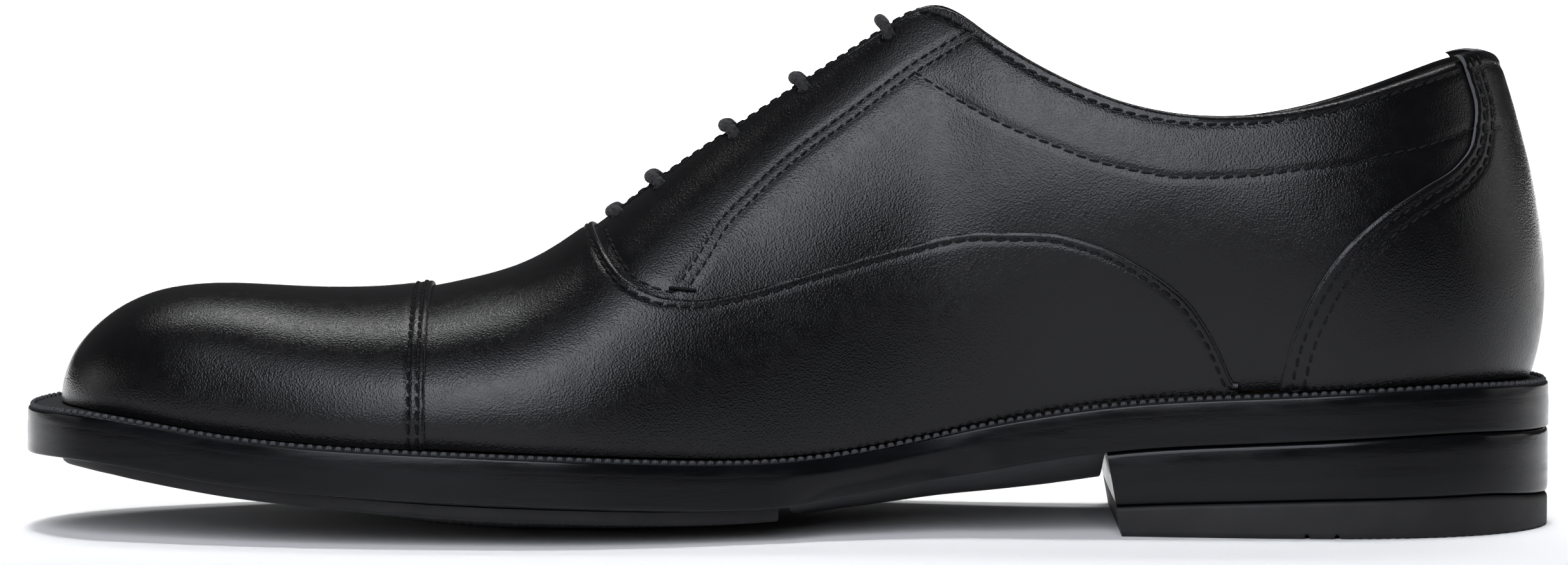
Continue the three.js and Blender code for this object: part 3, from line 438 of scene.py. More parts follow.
def route_line(points, spacing):
    """The smooth line through a route's points: a centripetal Catmull-Rom curve."""
    p = np.asarray(points, float)
    p = np.concatenate([[2 * p[0] - p[1]], p, [2 * p[-1] - p[-2]]])
    line = []
    for i in range(1, len(p) - 2):
        q = p[i - 1 : i + 3]
        t = np.concatenate([[0], np.cumsum(np.sqrt(np.linalg.norm(np.diff(q, axis=0), axis=1)))])
        s = np.linspace(t[1], t[2], 14, endpoint=False)[:, None]
        a = [((t[k + 1] - s) * q[k] + (s - t[k]) * q[k + 1]) / (t[k + 1] - t[k]) for k in range(3)]
        b = [((t[k + 2] - s) * a[k] + (s - t[k]) * a[k + 1]) / (t[k + 2] - t[k]) for k in range(2)]
        line.append(((t[2] - s) * b[0] + (s - t[1]) * b[1]) / (t[2] - t[1]))
    line.append(p[-2][None])
    return even_line(np.concatenate(line), spacing)


# ---- materials


class Nodes:
    """A small builder for one material's shader nodes."""

    def __init__(self, name):
        self.look = bpy.data.materials.new(name)
        self.look.use_nodes = True
        self.tree = self.look.node_tree
        self.place = self.add("TexCoord").outputs["Object"]
        self.made = {}

    def fill(self, socket, value):
        if isinstance(value, bpy.types.NodeSocket):
            self.tree.links.new(value, socket)
        else:
            socket.default_value = value

    def add(self, kind, inputs=None, **settings):
        """A node, with its inputs given as values or as other nodes' outputs."""
        node = self.tree.nodes.new("ShaderNode" + kind)
        for key, value in settings.items():
            setattr(node, key, value)
        for socket, value in (inputs or {}).items():
            self.fill(node.inputs[socket], value)
        return node

    def pattern(self, kind, output, stretch, inputs, **settings):
        """A texture in the object's coordinates, or in those stretched along each axis."""
        place = self.place
        if stretch:
            place = self.add("Mapping", {"Scale": stretch, "Vector": place}).outputs["Vector"]
        return self.add(kind, {**inputs, "Vector": place}, **settings).outputs[output]

    def noise(self, per_metre, detail=3.0, roughness=0.5, stretch=None):
        inputs = {"Scale": per_metre, "Detail": detail, "Roughness": roughness}
        return self.pattern("TexNoise", "Fac", stretch, inputs)

    def cells(self, per_metre, feature="F1"):
        return self.pattern("TexVoronoi", "Distance", None, {"Scale": per_metre}, feature=feature)

    def waves(self, per_metre, distortion, stretch):
        inputs = {"Scale": per_metre, "Distortion": distortion}
        return self.pattern("TexWave", "Fac", stretch, inputs, bands_direction="X")

    def texture(self, kind, *spec):
        """A noise, cells or waves texture, which is made once."""
        if (kind, spec) not in self.made:
            self.made[kind, spec] = getattr(self, kind)(*spec)
        return self.made[kind, spec]

    def math(self, operation, a, b):
        return self.add("Math", {0: a, 1: b}, operation=operation).outputs[0]

    def spread(self, value, low, high, start=0.0, end=1.0):
        """Maps a value's range from start..end to low..high."""
        inputs = {"Value": value, "From Min": start, "From Max": end, "To Min": low, "To Max": high}
        return self.add("MapRange", inputs).outputs["Result"]

    def blend(self, value, first, second, start=0.3, end=0.7):
        ramp = self.add("ValToRGB", {"Fac": value})
        for element, place, color in zip(ramp.color_ramp.elements, (start, end), (first, second)):
            element.position, element.color = place, (*color, 1)
        return ramp.outputs["Color"]

    def bump(self, height, distance, strength=1.0, under=None):
        inputs = {"Height": height, "Distance": distance * MM, "Strength": strength}
        return self.add("Bump", {**inputs, "Normal": under} if under else inputs).outputs["Normal"]

    def finish(self, color, roughness, normal=None, **fixed):
        """The shader's sockets. What is the same all over the surface is set on them directly."""
        shader = self.tree.nodes["Principled BSDF"]
        if normal:
            fixed["Normal"] = normal
        for socket, value in {"Base_Color": color, "Roughness": roughness, **fixed}.items():
            self.fill(shader.inputs[socket.replace("_", " ")], value)
        return self.look


def calf_look():
    """Smooth polished calf: a fine pebble grain under a soft gloss."""
    n = Nodes("calf_leather")
    pebbles = n.cells(2900, "SMOOTH_F1")
    fine = n.noise(5200, 2)
    broad = n.noise(60, 3)
    grain = n.math("ADD", n.math("MULTIPLY", pebbles, 0.7), n.math("MULTIPLY", fine, 0.3))
    normal = n.bump(grain, 0.085, 1.0, n.bump(broad, 0.25, 0.5))
    color = n.blend(broad, (0.0019, 0.0019, 0.0021), (0.0031, 0.0031, 0.0035))
    gloss = n.spread(n.noise(330, 4), 0.19, 0.27, 0.35, 0.65)
    return n.finish(color, gloss, normal, IOR=1.34)


def edge_look():
    """The dressed edge of the sole and heel: satin, with faint smears along it."""
    n = Nodes("dressed_edge")
    smears = n.noise(170, 5, 0.6, (0.35, 0.5, 2.2))
    specks = n.noise(2600, 2)
    color = n.blend(smears, (0.0014, 0.0015, 0.0019), (0.0034, 0.0037, 0.0045), 0.35, 0.75)
    normal = n.bump(smears, 0.12, 0.5, n.bump(specks, 0.02, 0.5))
    return n.finish(color, n.spread(smears, 0.16, 0.28, 0.35, 0.7), normal, IOR=1.28)


def look_of(name, relief, dark, pale, gloss, bump, tint=None, shine=None, **fixed):
    """A look whose relief texture also gives its colour and roughness, between two colours
    and two values, unless another texture, tint or shine, gives them."""
    n = Nodes(name)
    relief = n.texture(*relief)
    tint = n.texture(*tint) if tint else relief
    shine = n.texture(*shine) if shine else relief
    return n.finish(n.blend(tint, dark, pale), n.spread(shine, *gloss), n.bump(relief, *bump), **fixed)


CALF, EDGE = calf_look(), edge_look()
# The back of the leather is fibrous. The raw cut edges are coloured a pale grey, paler than the grain side: a
# painted highlight for the light the cut edges catch.
FLESH = look_of("leather_back", ("noise", 2400, 5, 0.7, (0.5, 1, 1)),
                (0.012, 0.012, 0.013), (0.028, 0.027, 0.027), (0.75, 0.95), (0.12,))
CUT_EDGE_PAINTED_HIGHLIGHT = look_of("cut_edge_painted_highlight", ("noise", 3800, 4, 0.65),
                   (0.045, 0.046, 0.05), (0.12, 0.12, 0.125), (0.5, 0.7), (0.08,))
LINING_LEATHER = look_of("lining_leather", ("cells", 1500),
                         (0.008, 0.008, 0.0088), (0.014, 0.0138, 0.0145), (0.5, 0.62), (0.07, 0.7),
                         tint=("noise", 120, 3), shine=("noise", 120, 3))
# The thread's plies show as fine slanted ridges. The welt's thread is coloured paler, a painted highlight for
# the light its stitches catch.
PLIES, THREAD_GLOSS = ("waves", 900, 1.5, (1, 0.6, 1.4)), (0.45, 0.6)
THREAD = look_of("thread", PLIES, (0.002, 0.002, 0.0022), (0.006, 0.006, 0.0065),
                 THREAD_GLOSS, (0.06, 0.7), IOR=1.25)
WELT_THREAD_PAINTED_HIGHLIGHT = look_of("welt_thread_painted_highlight", PLIES, (0.02, 0.02, 0.022), (0.06, 0.061, 0.066),
                      THREAD_GLOSS, (0.06, 0.7), IOR=1.25)
# The welt's upper face is duller than its edge, and the sole's underside is buffed.
WELT_LEATHER = look_of("welt_leather", ("noise", 1900, 4, 0.6),
                       (0.006, 0.0065, 0.0075), (0.016, 0.0165, 0.018), (0.45, 0.6), (0.07,), IOR=1.36)
SOLE_LEATHER = look_of("sole_leather", ("noise", 800, 5, 0.6, (0.3, 1, 1)),
                       (0.006, 0.0065, 0.0075), (0.014, 0.0145, 0.016), (0.36, 0.5), (0.08, 0.7), IOR=1.36)
RUBBER = look_of("rubber", ("noise", 2200, 4, 0.6),
                 (0.005, 0.005, 0.0053), (0.0095, 0.0095, 0.01), (0.5, 0.7), (0.08, 0.6),
                 tint=("noise", 140, 4), IOR=1.36)
# Waxed cotton: matte, with the braid's picks as geometry and its yarns as bump.
BRAID = look_of("lace_braid", ("noise", 5200, 2, 0.6),
                (0.006, 0.006, 0.0065), (0.016, 0.016, 0.017), (0.55, 0.72), (0.07,),
                Sheen_Weight=0.12, Sheen_Roughness=0.4, IOR=1.36)
TIP_PLASTIC = look_of("lace_tip", ("noise", 900, 4, 0.6),
                      (0.009, 0.009, 0.0095), (0.018, 0.018, 0.019), (0.25, 0.4), (0.02,))
# The hidden layers: resin-stiffened felt, insole leather, cork, spring steel and brass.
FIBRE = look_of("stiffener_fibre", ("noise", 1600, 6, 0.75),
                (0.30, 0.27, 0.21), (0.50, 0.46, 0.38), (0.75, 0.95), (0.2,), shine=("cells", 900))
BOARD = look_of("insole_leather", ("noise", 700, 6, 0.65, (0.4, 1, 1)),
                (0.22, 0.15, 0.095), (0.36, 0.26, 0.17), (0.65, 0.85), (0.1,))
CORK = look_of("cork_granules", ("cells", 520),
               (0.24, 0.13, 0.06), (0.56, 0.38, 0.21), (0.8, 0.95), (0.35,), tint=("noise", 380, 4, 0.6))
STEEL = look_of("spring_steel", ("noise", 900, 3, 0.5, (0.05, 1, 1)),
                (0.42, 0.43, 0.44), (0.6, 0.62, 0.64), (0.28, 0.42), (0.01,), Metallic=1.0)
BRASS = look_of("brass", ("noise", 700, 4, 0.6),
                (0.42, 0.29, 0.12), (0.70, 0.55, 0.28), (0.25, 0.45), (0.01,), Metallic=1.0)
UPPER = [CALF, FLESH, CUT_EDGE_PAINTED_HIGHLIGHT]
INSIDE = [FLESH, LINING_LEATHER, CUT_EDGE_PAINTED_HIGHLIGHT]

# ---- camera, light and floor


CAMERA = {"x": -1.1, "y": -1550, "z": 167, "aim_z": 48.7, "lens": 175.93, "sensor": 36}
SKY = {"color": (0.95, 0.97, 1, 1), "strength": 0.06}
FLOOR = {"left": -9000, "right": 9000, "near": -4000, "far": 12000}
FLOOR_ROUGHNESS = 0.6
MIDDLE = (0, 0, 0.05)
COOL, WHITE = (0.955, 0.975, 1.055), (1, 1, 1)


def from_shoe(azimuth, elevation, distance=1.5):
    """A place that far from the shoe's middle. Azimuth 0 is the camera's side, and + the heel's."""
    a, e = math.radians(azimuth), math.radians(elevation)
    level = distance * math.cos(e)
    return level * math.sin(a), -level * math.cos(a), MIDDLE[2] + distance * math.sin(e)


# name, place, the point it faces, width and height in metres, radiance, spread in degrees
SOFT_BOXES = [
    ("key_low_toe", from_shoe(-20, 17), MIDDLE, (0.45, 0.68), 4.4, 180),
    ("key_low", from_shoe(-0.5, 21), MIDDLE, (0.52, 0.47), 5.4, 180),
    ("key_high_toe", from_shoe(-21.5, 42.5), MIDDLE, (0.41, 0.65), 7.5, 180),
    ("key_high", from_shoe(-0.5, 42.5), MIDDLE, (0.41, 0.65), 7, 180),
    ("key_top_toe", from_shoe(-40, 61), MIDDLE, (0.51, 0.31), 2.2, 180),
    ("toe_panel", from_shoe(-95, 11), MIDDLE, (1.03, 0.47), 0.9, 180),
    ("heel_panel", from_shoe(95, 11), MIDDLE, (1.03, 0.47), 1.15, 180),
    ("back_box", (0, 2.9, 2.6), (0, 2.9, 0), (8, 3.6), 6.5, 70),
    ("floor_box", (0, 0.15, 2.2), (0, 0.15, 0), (1.4, 0.3), 1.4, 16),
]


def placed(name, data, place, aim):
    """A camera or lamp at a place, looking at a point."""
    piece = bpy.data.objects.new(name, data)
    piece.location = place
    piece.rotation_euler = (Vector(aim) - Vector(place)).to_track_quat("-Z", "Y").to_euler()
    bpy.context.scene.collection.objects.link(piece)
    return piece


def studio():
    """The camera at the side of the shoe, a pale floor and soft boxes."""
    lens = bpy.data.cameras.new("camera")
    lens.lens, lens.sensor_width = CAMERA["lens"], CAMERA["sensor"]
    place = Vector((CAMERA["x"], CAMERA["y"], CAMERA["z"])) * MM
    aim = Vector((CAMERA["x"], 0, CAMERA["aim_z"])) * MM
    bpy.context.scene.camera = placed("camera", lens, place, aim)

    world = bpy.data.worlds.new("studio")
    world.use_nodes = True
    background = world.node_tree.nodes["Background"]
    background.inputs["Color"].default_value = SKY["color"]
    background.inputs["Strength"].default_value = SKY["strength"]
    bpy.context.scene.world = world
    bpy.context.scene.view_settings.view_transform = "Standard"

    look = Nodes("floor")
    look.finish(look.blend(look.noise(3, 2), (0.84, 0.84, 0.845), (0.87, 0.87, 0.875)), FLOOR_ROUGHNESS)
    left, right, near, far = FLOOR.values()
    corners = [(left, near, 0), (right, near, 0), (right, far, 0), (left, far, 0)]
    mesh_object("floor", corners, [(0, 1, 2, 3)], [look.look])

    for name, place, aim, size, radiance, spread in SOFT_BOXES:
        light = bpy.data.lights.new(name, "AREA")
        light.shape = "RECTANGLE"
        light.size, light.size_y = size
        light.spread = math.radians(spread)
        light.energy = radiance * math.pi * size[0] * size[1]
        light.color = COOL if name.startswith("key") else WHITE
        # The floor's own light isn't mirrored in the leather.
        placed(name, light, place, aim).visible_glossy = name != "floor_box"


studio()

# ---- the lace

EYELET_RIB = rib_at(EYELET_X)


def on_eyelet(row, side, depth, du=0, v=None):
    """A point by an eyelet: that many ribs from it, and at its own height or another."""
    return layer_point(EYELET_RIB[row] + du, EYELET_V[row] if v is None else v, side, depth)


def through_eyelet(row, side):
    """Up through an eyelet, leaning on the side of the hole that is nearer the edge."""
    points = [(-0.004, RUN_DEPTH + 0.75), (-0.001, -4.1), (0.001, -2.7), (0.008, -1.1)]
    return [on_eyelet(row, side, depth, v=EYELET_V[row] + dv) for dv, depth in points]


def bar(row, start):
    """Over the throat, from one facing to the other."""
    over = [(-0.03, EYELET_V[row] + 0.034), (-0.08, 0.99)]
    depth = BAR_DEPTH - (THROAT_SINK if row == 0 else 0)
    near = [on_eyelet(row, start, depth, du, v) for du, v in over]
    return near + [on_eyelet(row, -start, depth, du, v) for du, v in over[::-1]]


def run(first, second, side):
    """Inside, from one row to the next along a facing."""
    shares = (0.3, 0.5, 0.7)
    ribs = [mix(EYELET_RIB[first], EYELET_RIB[second], f) for f in shares]
    heights = [mix(EYELET_V[first], EYELET_V[second], f) - 0.01 for f in shares]
    return [layer_point(u, v, side, RUN_DEPTH) for u, v in zip(ribs, heights)]


def laced_route():
    """Straight bars outside, and a run up one facing between them, from the throat up."""
    route, side = [on_eyelet(0, MEDIAL, RUN_DEPTH, v=0.83)], MEDIAL
    for row in range(5):
        if row > 0:
            route += run(row - 1, row, side)
        route += through_eyelet(row, side) + bar(row, side) + through_eyelet(row, -side)[::-1]
        side = -side
    return route + [on_eyelet(4, side, RUN_DEPTH, v=0.83)]


# Each end is tucked inside the shoe and lies along the edge of the insock. The points are
# rib, height up the rib and depth, first on the side where the end starts and then on the
# other side, and the last one is where the aglet points.
TAIL_ROUTES = {
    MEDIAL: ([
        (12.4, 0.8, -6.55), (12.35, 0.73, -6.5), (12.2, 0.63, -6.5), (11.9, 0.5, -6.5), (11.5, 0.37, -6.7),
        (11, 0.26, -7.2), (10.3, 0.2, -7.6), (9.4, 0.18, -7.8), (8.5, 0.18, -7.8), (7.5, 0.18, -7.8),
        (6.5, 0.19, -7.8), (5.5, 0.2, -7.8), (4.5, 0.24, -7.8), (3.4, 0.33, -8), (2.2, 0.7, -8.4),
    ], [(2.2, 0.7, -8.4), (3.4, 0.33, -8), (4.6, 0.24, -7.8), (5.8, 0.22, -7.8), (7.5, 0.22, -7.8)]),
    LATERAL: ([
        (16.05, 0.8, -6.55), (16, 0.73, -6.5), (15.85, 0.63, -6.5), (15.6, 0.52, -6.5), (15.2, 0.4, -6.5),
        (14.6, 0.3, -6.7), (13.9, 0.22, -7), (13, 0.17, -7.4), (12, 0.16, -7.8), (11, 0.17, -7.8),
        (10, 0.2, -7.8), (9, 0.22, -7.8), (7.8, 0.23, -7.8),
    ], []),
}


def braid(along, angle):
    """The picks of a round braid, as two sets of strands that cross over each other."""
    turn = 2 * np.pi * along / BRAID_PITCH
    left, right = np.cos(4 * (angle + turn)), np.cos(4 * (angle - turn))
    return 0.93 + 0.13 * np.maximum(left, right)


def crimp(along, angle):
    """A lace tip's wrap: a faint step round it and a lengthwise lap."""
    step = 0.02 * smooth_step(3.2, 3.6, along)
    lap = 0.025 * np.exp(-(((angle - 1.5) / 0.18) ** 2))
    return 0.97 + lap - step


def lace_pieces():
    line = route_line(laced_route(), 0.22)
    settle(sweep("lace", line, LACE_RADIUS, [BRAID], 24, braid), "lace", "lace")
    for side, word in SIDES.items():
        near, far = TAIL_ROUTES[side]
        points = [layer_point(*point[:2], side, point[2]) for point in near]
        points += [layer_point(*point[:2], -side, point[2]) for point in far]
        line = route_line(points[:-1], 0.25)
        way = unit(points[-1] - points[-2])
        tip_line = points[-2] + way * np.linspace(GAP, GAP + AGLET["length"], 41)[:, None]
        tip = sweep(f"aglet_{word}_tip", tip_line, AGLET["radius"], [TIP_PLASTIC], 20, crimp, 0.7)
        settle(tip, "tip", f"aglet_{word}")
        tail = sweep(f"lace_tail_{word}_cord", line, LACE_RADIUS, [BRAID], 24, braid)
        settle(tail, "lace", f"lace_tail_{word}")
        lengths(line)[-1] * MM


lace_pieces()

# ---- the upper's patterns

VAMP_EDGE = steady_curve([
    (-40.6, 62.5), (-38.5, 59.5), (-36, 55.8), (-33, 52.6), (-29, 50.2), (-24.5, 48.7), (-18, 48.2),
    (-10, 49.4), (4, 53.1), (22, 57.8), (38, 60.9), (50, 60.8), (61, 58.3), (70.5, 53.5), (78.5, 47.4),
    (84, 39.4), (88, 30.4),
])
COUNTER_EDGE = steady_curve([
    (29, 97.7), (38, 99.6), (46.4, 102.8), (53.4, 106.8), (58.1, 110.5), (64.7, 118.1), (69.5, 125.8),
    (73.8, 133.3), (78.4, 137), (85.1, 138.1), (91.9, 136.4), (97.5, 134.6),
])
CAP_EDGE_X, CAP_RISE = -72, 1.2
VAMP_FRONT, VAMP_BACK = -40.6, 87.2
FACING_END = -30  # where the vamp's edge turns from the throat into the wing
TOE_LINING_END, QUARTER_FRONT = -46.5, -45.5
TIP_START = 0.03
TOPLINE = 0.985


def vamp_height(u, side):
    """How far up each rib the vamp reaches."""
    u = np.asarray(u, float)

    def short(v):
        p = face_point(u, v, side)
        return VAMP_EDGE(p[..., 0]) - p[..., 2]

    high = root(short, np.zeros(u.shape), np.ones(u.shape))
    whole = face_point(u, 1, side)[..., 0] <= VAMP_FRONT
    return np.where(whole, 1, np.maximum(high, 0.02))


def counter_front(v, side):
    """The rib where the counter starts at each height."""
    v = np.asarray(v, float)

    def short(u):
        p = face_point(u, v, side)
        return COUNTER_EDGE(p[..., 2]) - p[..., 0]

    return root(short, np.full(v.shape, 19.0), np.full(v.shape, float(BACK)))


def near_edge(count, fine):
    """Shares from 0 to 1, closer together next to the edge at 1."""
    return np.concatenate([np.linspace(0, 1 - fine[-1], count), 1 - np.array(fine[-2::-1]), [1]])


class Line:
    """A line on one side's face, as (u, v) points in order."""

    def __init__(self, u, v, side):
        self.u, self.v = (np.asarray(a, float) for a in np.broadcast_arrays(u, v))
        self.side = side

    def beside(self, distance):
        """The same line moved sideways on the face, to its left seen from outside the medial
        side, and to its right seen from outside the lateral side."""
        u, v = slide(self.u, self.v, self.side, -self.side * distance)
        return Line(u, v, self.side)

    def at(self, depth):
        return layer_point(self.u, self.v, self.side, depth)

    def normals(self):
        return face_normal(self.u, self.v, self.side)

    def part(self, start, end):
        n = len(self.u)
        pick = slice(int(start * (n - 1)), int(end * (n - 1)) + 1)
        return Line(self.u[pick], self.v[pick], self.side)


def seen_line(points, side, steps=160):
    """A line drawn in side view, laid on one side's face."""
    along = lengths(np.array(points, float))
    at = np.linspace(0, along[-1], steps)
    x, z = (steady_curve(list(zip(along, column)))(at) for column in zip(*points))
    return Line(*locate(x, z, side), side)


FACING_ROW = [
    (35.9, 100.7), (24.7, 93.8), (9, 82.6), (1.7, 77.5), (-7.7, 69.2), (-13.5, 63.1), (-17.1, 57),
    (-20.6, 51.8),
]
COLLAR_ROW = [
    (24.4, 93.3), (29.9, 89.6), (37, 85.3), (44.8, 81.5), (52.9, 78.3), (60, 75.6), (70.5, 73.2),
    (77.7, 72.2), (85, 72.3), (92.4, 72.8), (103.1, 74.1), (110.6, 74.9), (118.2, 76.6), (125.9, 78),
    (133.8, 80.2), (137.9, 81.4), (142.4, 81.6),
]


def cap_edge(side):
    return Line(rib_at(CAP_EDGE_X), np.linspace(0.0, 1, 160), side)


def vamp_edge(side):
    front, turn, back = rib_of(VAMP_FRONT + 0.05), rib_of(FACING_END), rib_of(VAMP_BACK)
    u = np.concatenate([np.linspace(front, turn, 120)[:-1], np.linspace(turn, back, 300)])
    return Line(u, vamp_height(u, side), side)


def counter_edge(side):
    v = np.linspace(0.0, TOPLINE, 220)
    return Line(counter_front(v, side), v, side)


def topline(side):
    u = np.linspace(rib_of(-36), BACK - 0.02, 700)
    return Line(u, TOPLINE, side)


def hugging(top):
    """The row along the edge: close to it down the facing, and further in round the collar."""
    near, far = top.beside(-0.75), top.beside(-2.3)
    share = smooth_step(rib_of(22), rib_of(31), top.u)
    return Line(mix(near.u, far.u, share), mix(near.v, far.v, share), top.side)


def stitch_rows(side):
    """The rows of stitches on one side, beside the edges they hold down."""
    cap, wing, heel, facing = cap_edge(side), vamp_edge(side), counter_edge(side), seen_line(FACING_ROW, side)
    return {
        "cap": [cap.beside(1.3), cap.beside(3.1)],
        "vamp": [wing.beside(-1.4).part(0.0165, 1)],
        "counter": [heel.beside(-2.0), heel.beside(-4.4)],
        "facing": [facing.beside(-1), facing.beside(1)],
        "collar": [seen_line(COLLAR_ROW, side)],
        "throat": [wing.part(0.035, 0.33).beside(1.9)],
        "topline": [hugging(topline(side))],
    }


ROWS = {side: stitch_rows(side) for side in SIDES}
# How deep the leather is drawn in along a row and a cut edge, and how wide the hollow is.
ROW_HOLLOW = {"depth": 0.24, "width": 0.75}
EDGE_ROUND = {"depth": 0.38, "width": 0.7}


def rows_on(*kinds, sides=SIDES):
    return [row for side in sides for kind in kinds for row in ROWS[side][kind]]


def tree_of(lines, depth):
    """The lines' points, for finding the nearest one."""
    points = np.concatenate([even_line(line.at(depth), 0.35) for line in lines])
    tree = KDTree(len(points))
    for k, p in enumerate(points):
        tree.insert(p, k)
    tree.balance()
    return tree


def ripple(points):
    """The slight unevenness of leather pulled over a last."""
    x, y, z = points.T
    soft = np.sin(x / 7.1 + 1.3 * np.sin(z / 11.3)) * np.sin(z / 8.3 + y / 13.7 + 0.7)
    return 0.05 * soft + 0.04 * np.sin(x / 3.9 - z / 6.1) * np.sin(z / 4.7 + 2.1)


def dents_of(rows, edges, depth):
    """How far a surface is drawn in near its rows of stitches and its cut edges."""
    row_tree = tree_of(rows, depth)
    edge_tree = tree_of(edges, depth) if edges else None

    def at(points):
        drop = np.zeros(len(points))
        for k, p in enumerate(points):
            away = row_tree.find(p)[2] / ROW_HOLLOW["width"]
            drop[k] = ROW_HOLLOW["depth"] * math.exp(-away * away)
            if edge_tree:
                away = min(edge_tree.find(p)[2] / EDGE_ROUND["width"], 1)
                drop[k] += EDGE_ROUND["depth"] * (1 - away) ** 2
        return drop + ripple(points)

    return at


def both_sides(grid_of):
    return [(side, *grid_of(side)) for side in SIDES]


def rows_up(us, heights, count):
    """A grid of points up each rib, to its height. count is how many, or their shares."""
    shares = np.linspace(0, 1, count) if isinstance(count, int) else count
    heights = np.broadcast_to(np.asarray(heights, float), us.shape)
    u, v = np.broadcast_arrays(us[:, None], heights[:, None] * shares[None])
    return u.copy(), v.copy()


CELL = 1.0  # the size of a mesh cell on the upper
LINING_CELL = 1.6
LIP_RINGS = 13  # in the roll over the topline
LIP_SINK = 0.002  # how far below the roll, in shares of a rib, the linings end
ROLL = {"start": 0.955, "drop": 1.9}  # the counter's, over the collar
QUARTER_BACK = 26.98  # the quarter's last rib, next to the back seam
LINING_SEAM = {"quarter": 23.4, "heel": 23.44, "last_lip": 26.9}
LINING_THICK = 1.1


def from_tip(end, count, spacing=CELL):
    """Ribs from the tip of the toe, close together round it, to an end."""
    return np.concatenate([np.linspace(TIP_START, 1, count)[:-1], even_ribs(1, end, spacing)])


def toe_cap():
    edge = rib_of(CAP_EDGE_X)
    us = np.concatenate([from_tip(edge - 0.35, 8), even_ribs(edge - 0.35, edge, 0.3)[1:]])
    dents = dents_of(rows_on("cap"), [cap_edge(side) for side in SIDES], CAP_RISE)
    patches = both_sides(lambda side: rows_up(us, 1, 75))
    settle(shell("toe_cap_leather", patches, CAP_RISE, 0.1, UPPER, dents=dents), "calf", "toe_cap")


def vamp_piece():
    turn = rib_of(FACING_END)
    throat = np.linspace(rib_of(VAMP_FRONT + 0.01), turn, 60)
    wing = even_ribs(turn, rib_of(VAMP_BACK), CELL, 0.2)
    us = np.concatenate([from_tip(rib_of(VAMP_FRONT), 6), throat, wing[1:]])
    shares = near_edge(72, (0.004, 0.01, 0.018, 0.03))
    dents = dents_of(rows_on("vamp"), [vamp_edge(side) for side in SIDES], 0)
    patches = both_sides(lambda side: rows_up(us, vamp_height(us, side), shares))
    settle(shell("vamp_leather", patches, 0, -LEATHER, UPPER, dents=dents), "calf", "vamp")


def lining_depth(u, v=None):
    """The inner face of the lining, which sinks over the stiffener towards the heel."""
    return mix(LINING["front"][1], LINING["heel"][1], smooth_step(20.4, 22.2, u))


def lip_height(u, outer):
    """Where a rib leaves the flat of the leather to roll over the topline."""
    radius = (outer - lining_depth(u)) / 2
    rise = np.linalg.norm(face_point(u, 0.99, 1) - face_point(u, 0.98, 1), axis=-1) / 0.01
    return TOPLINE - radius / rise


def rolled_lip(us, lip, side, outer):
    """The rings of points that roll the leather over from its face to the lining."""
    radius = ((outer - lining_depth(us)) / 2)[:, None, None]
    upward = unit(face_point(us, lip + 0.002, side) - face_point(us, lip - 0.002, side))[:, None]
    middle = layer_point(us, lip, side, outer - radius[:, 0, 0])[:, None]
    a = np.radians(np.linspace(10, 170, LIP_RINGS))[:, None]
    roll = middle + (face_normal(us, lip, side)[:, None] * np.cos(a) + upward * np.sin(a)) * radius
    return np.concatenate([roll, layer_point(us, lip, side, outer - 2 * radius[:, 0, 0])[:, None]], 1)


def quarter_piece(side):
    """One quarter, whose top is rolled over to meet the lining."""
    outer, turn, count = -STEP, rib_of(FACING_END), 84
    us = np.concatenate([np.linspace(rib_of(QUARTER_FRONT), turn, 24)[:-1],
                         even_ribs(turn, QUARTER_BACK, CELL, 0.7)])
    lip = lip_height(us, outer)
    u, v = rows_up(us, lip, near_edge(count - 4, (0.012, 0.024, 0.036, 0.05)))
    flat = layer_point(u, v, side, outer).reshape(-1, 3)
    dents = dents_of(rows_on("facing", "collar", "topline", "throat", sides=[side]), [], outer)
    top = layer_point(u, v, side, outer - dents(flat).reshape(u.shape))
    bottom = layer_point(u, v, side, outer - LEATHER)
    rings = np.concatenate([top, rolled_lip(us, lip, side, outer), bottom[:, ::-1]], 1)
    n, m = rings.shape[:2]
    ids = np.arange(n * m).reshape(n, m)
    ends = []
    for row, step in ((ids[0], 1), (ids[-1], -1)):
        inside = row[::-1]
        strips = [[row[j], row[j + 1], inside[j + 1], inside[j]] for j in range(count - 1)]
        strips.append([*row[count - 1 : -count], inside[count - 1]])
        ends += [strip[::step] for strip in strips]
    faces = grid_quads(ids, closed=True).tolist() + ends
    if side == LATERAL:
        faces = [face[::-1] for face in faces]
    outside = count + LIP_RINGS
    picks = ([0] * outside + [1] * (m - outside)) * (n - 1) + [2] * len(ends)
    piece = mesh_object(f"quarter_{SIDES[side]}_leather", rings.reshape(-1, 3), faces, UPPER, picks)
    holes = [[on_eyelet(row, side, depth) for depth in (3, -9)] for row in range(5)]
    pierce(piece, [sweep("peg", hole, EYELET_HOLE, [CUT_EDGE_PAINTED_HIGHLIGHT], 28) for hole in holes])
    settle(piece, "calf", f"quarter_{SIDES[side]}")


def pierce(piece, pegs):
    """Cuts the pegs out of a piece, and removes them."""
    for peg in pegs:
        hole = piece.modifiers.new("hole", "BOOLEAN")
        hole.object, hole.operation, hole.solver = peg, "DIFFERENCE", "MANIFOLD"
    graph = bpy.context.evaluated_depsgraph_get()
    cut = bpy.data.meshes.new_from_object(piece.evaluated_get(graph), depsgraph=graph)
    piece.modifiers.clear()
    piece.data = cut
    for peg in pegs:
        bpy.data.objects.remove(peg)


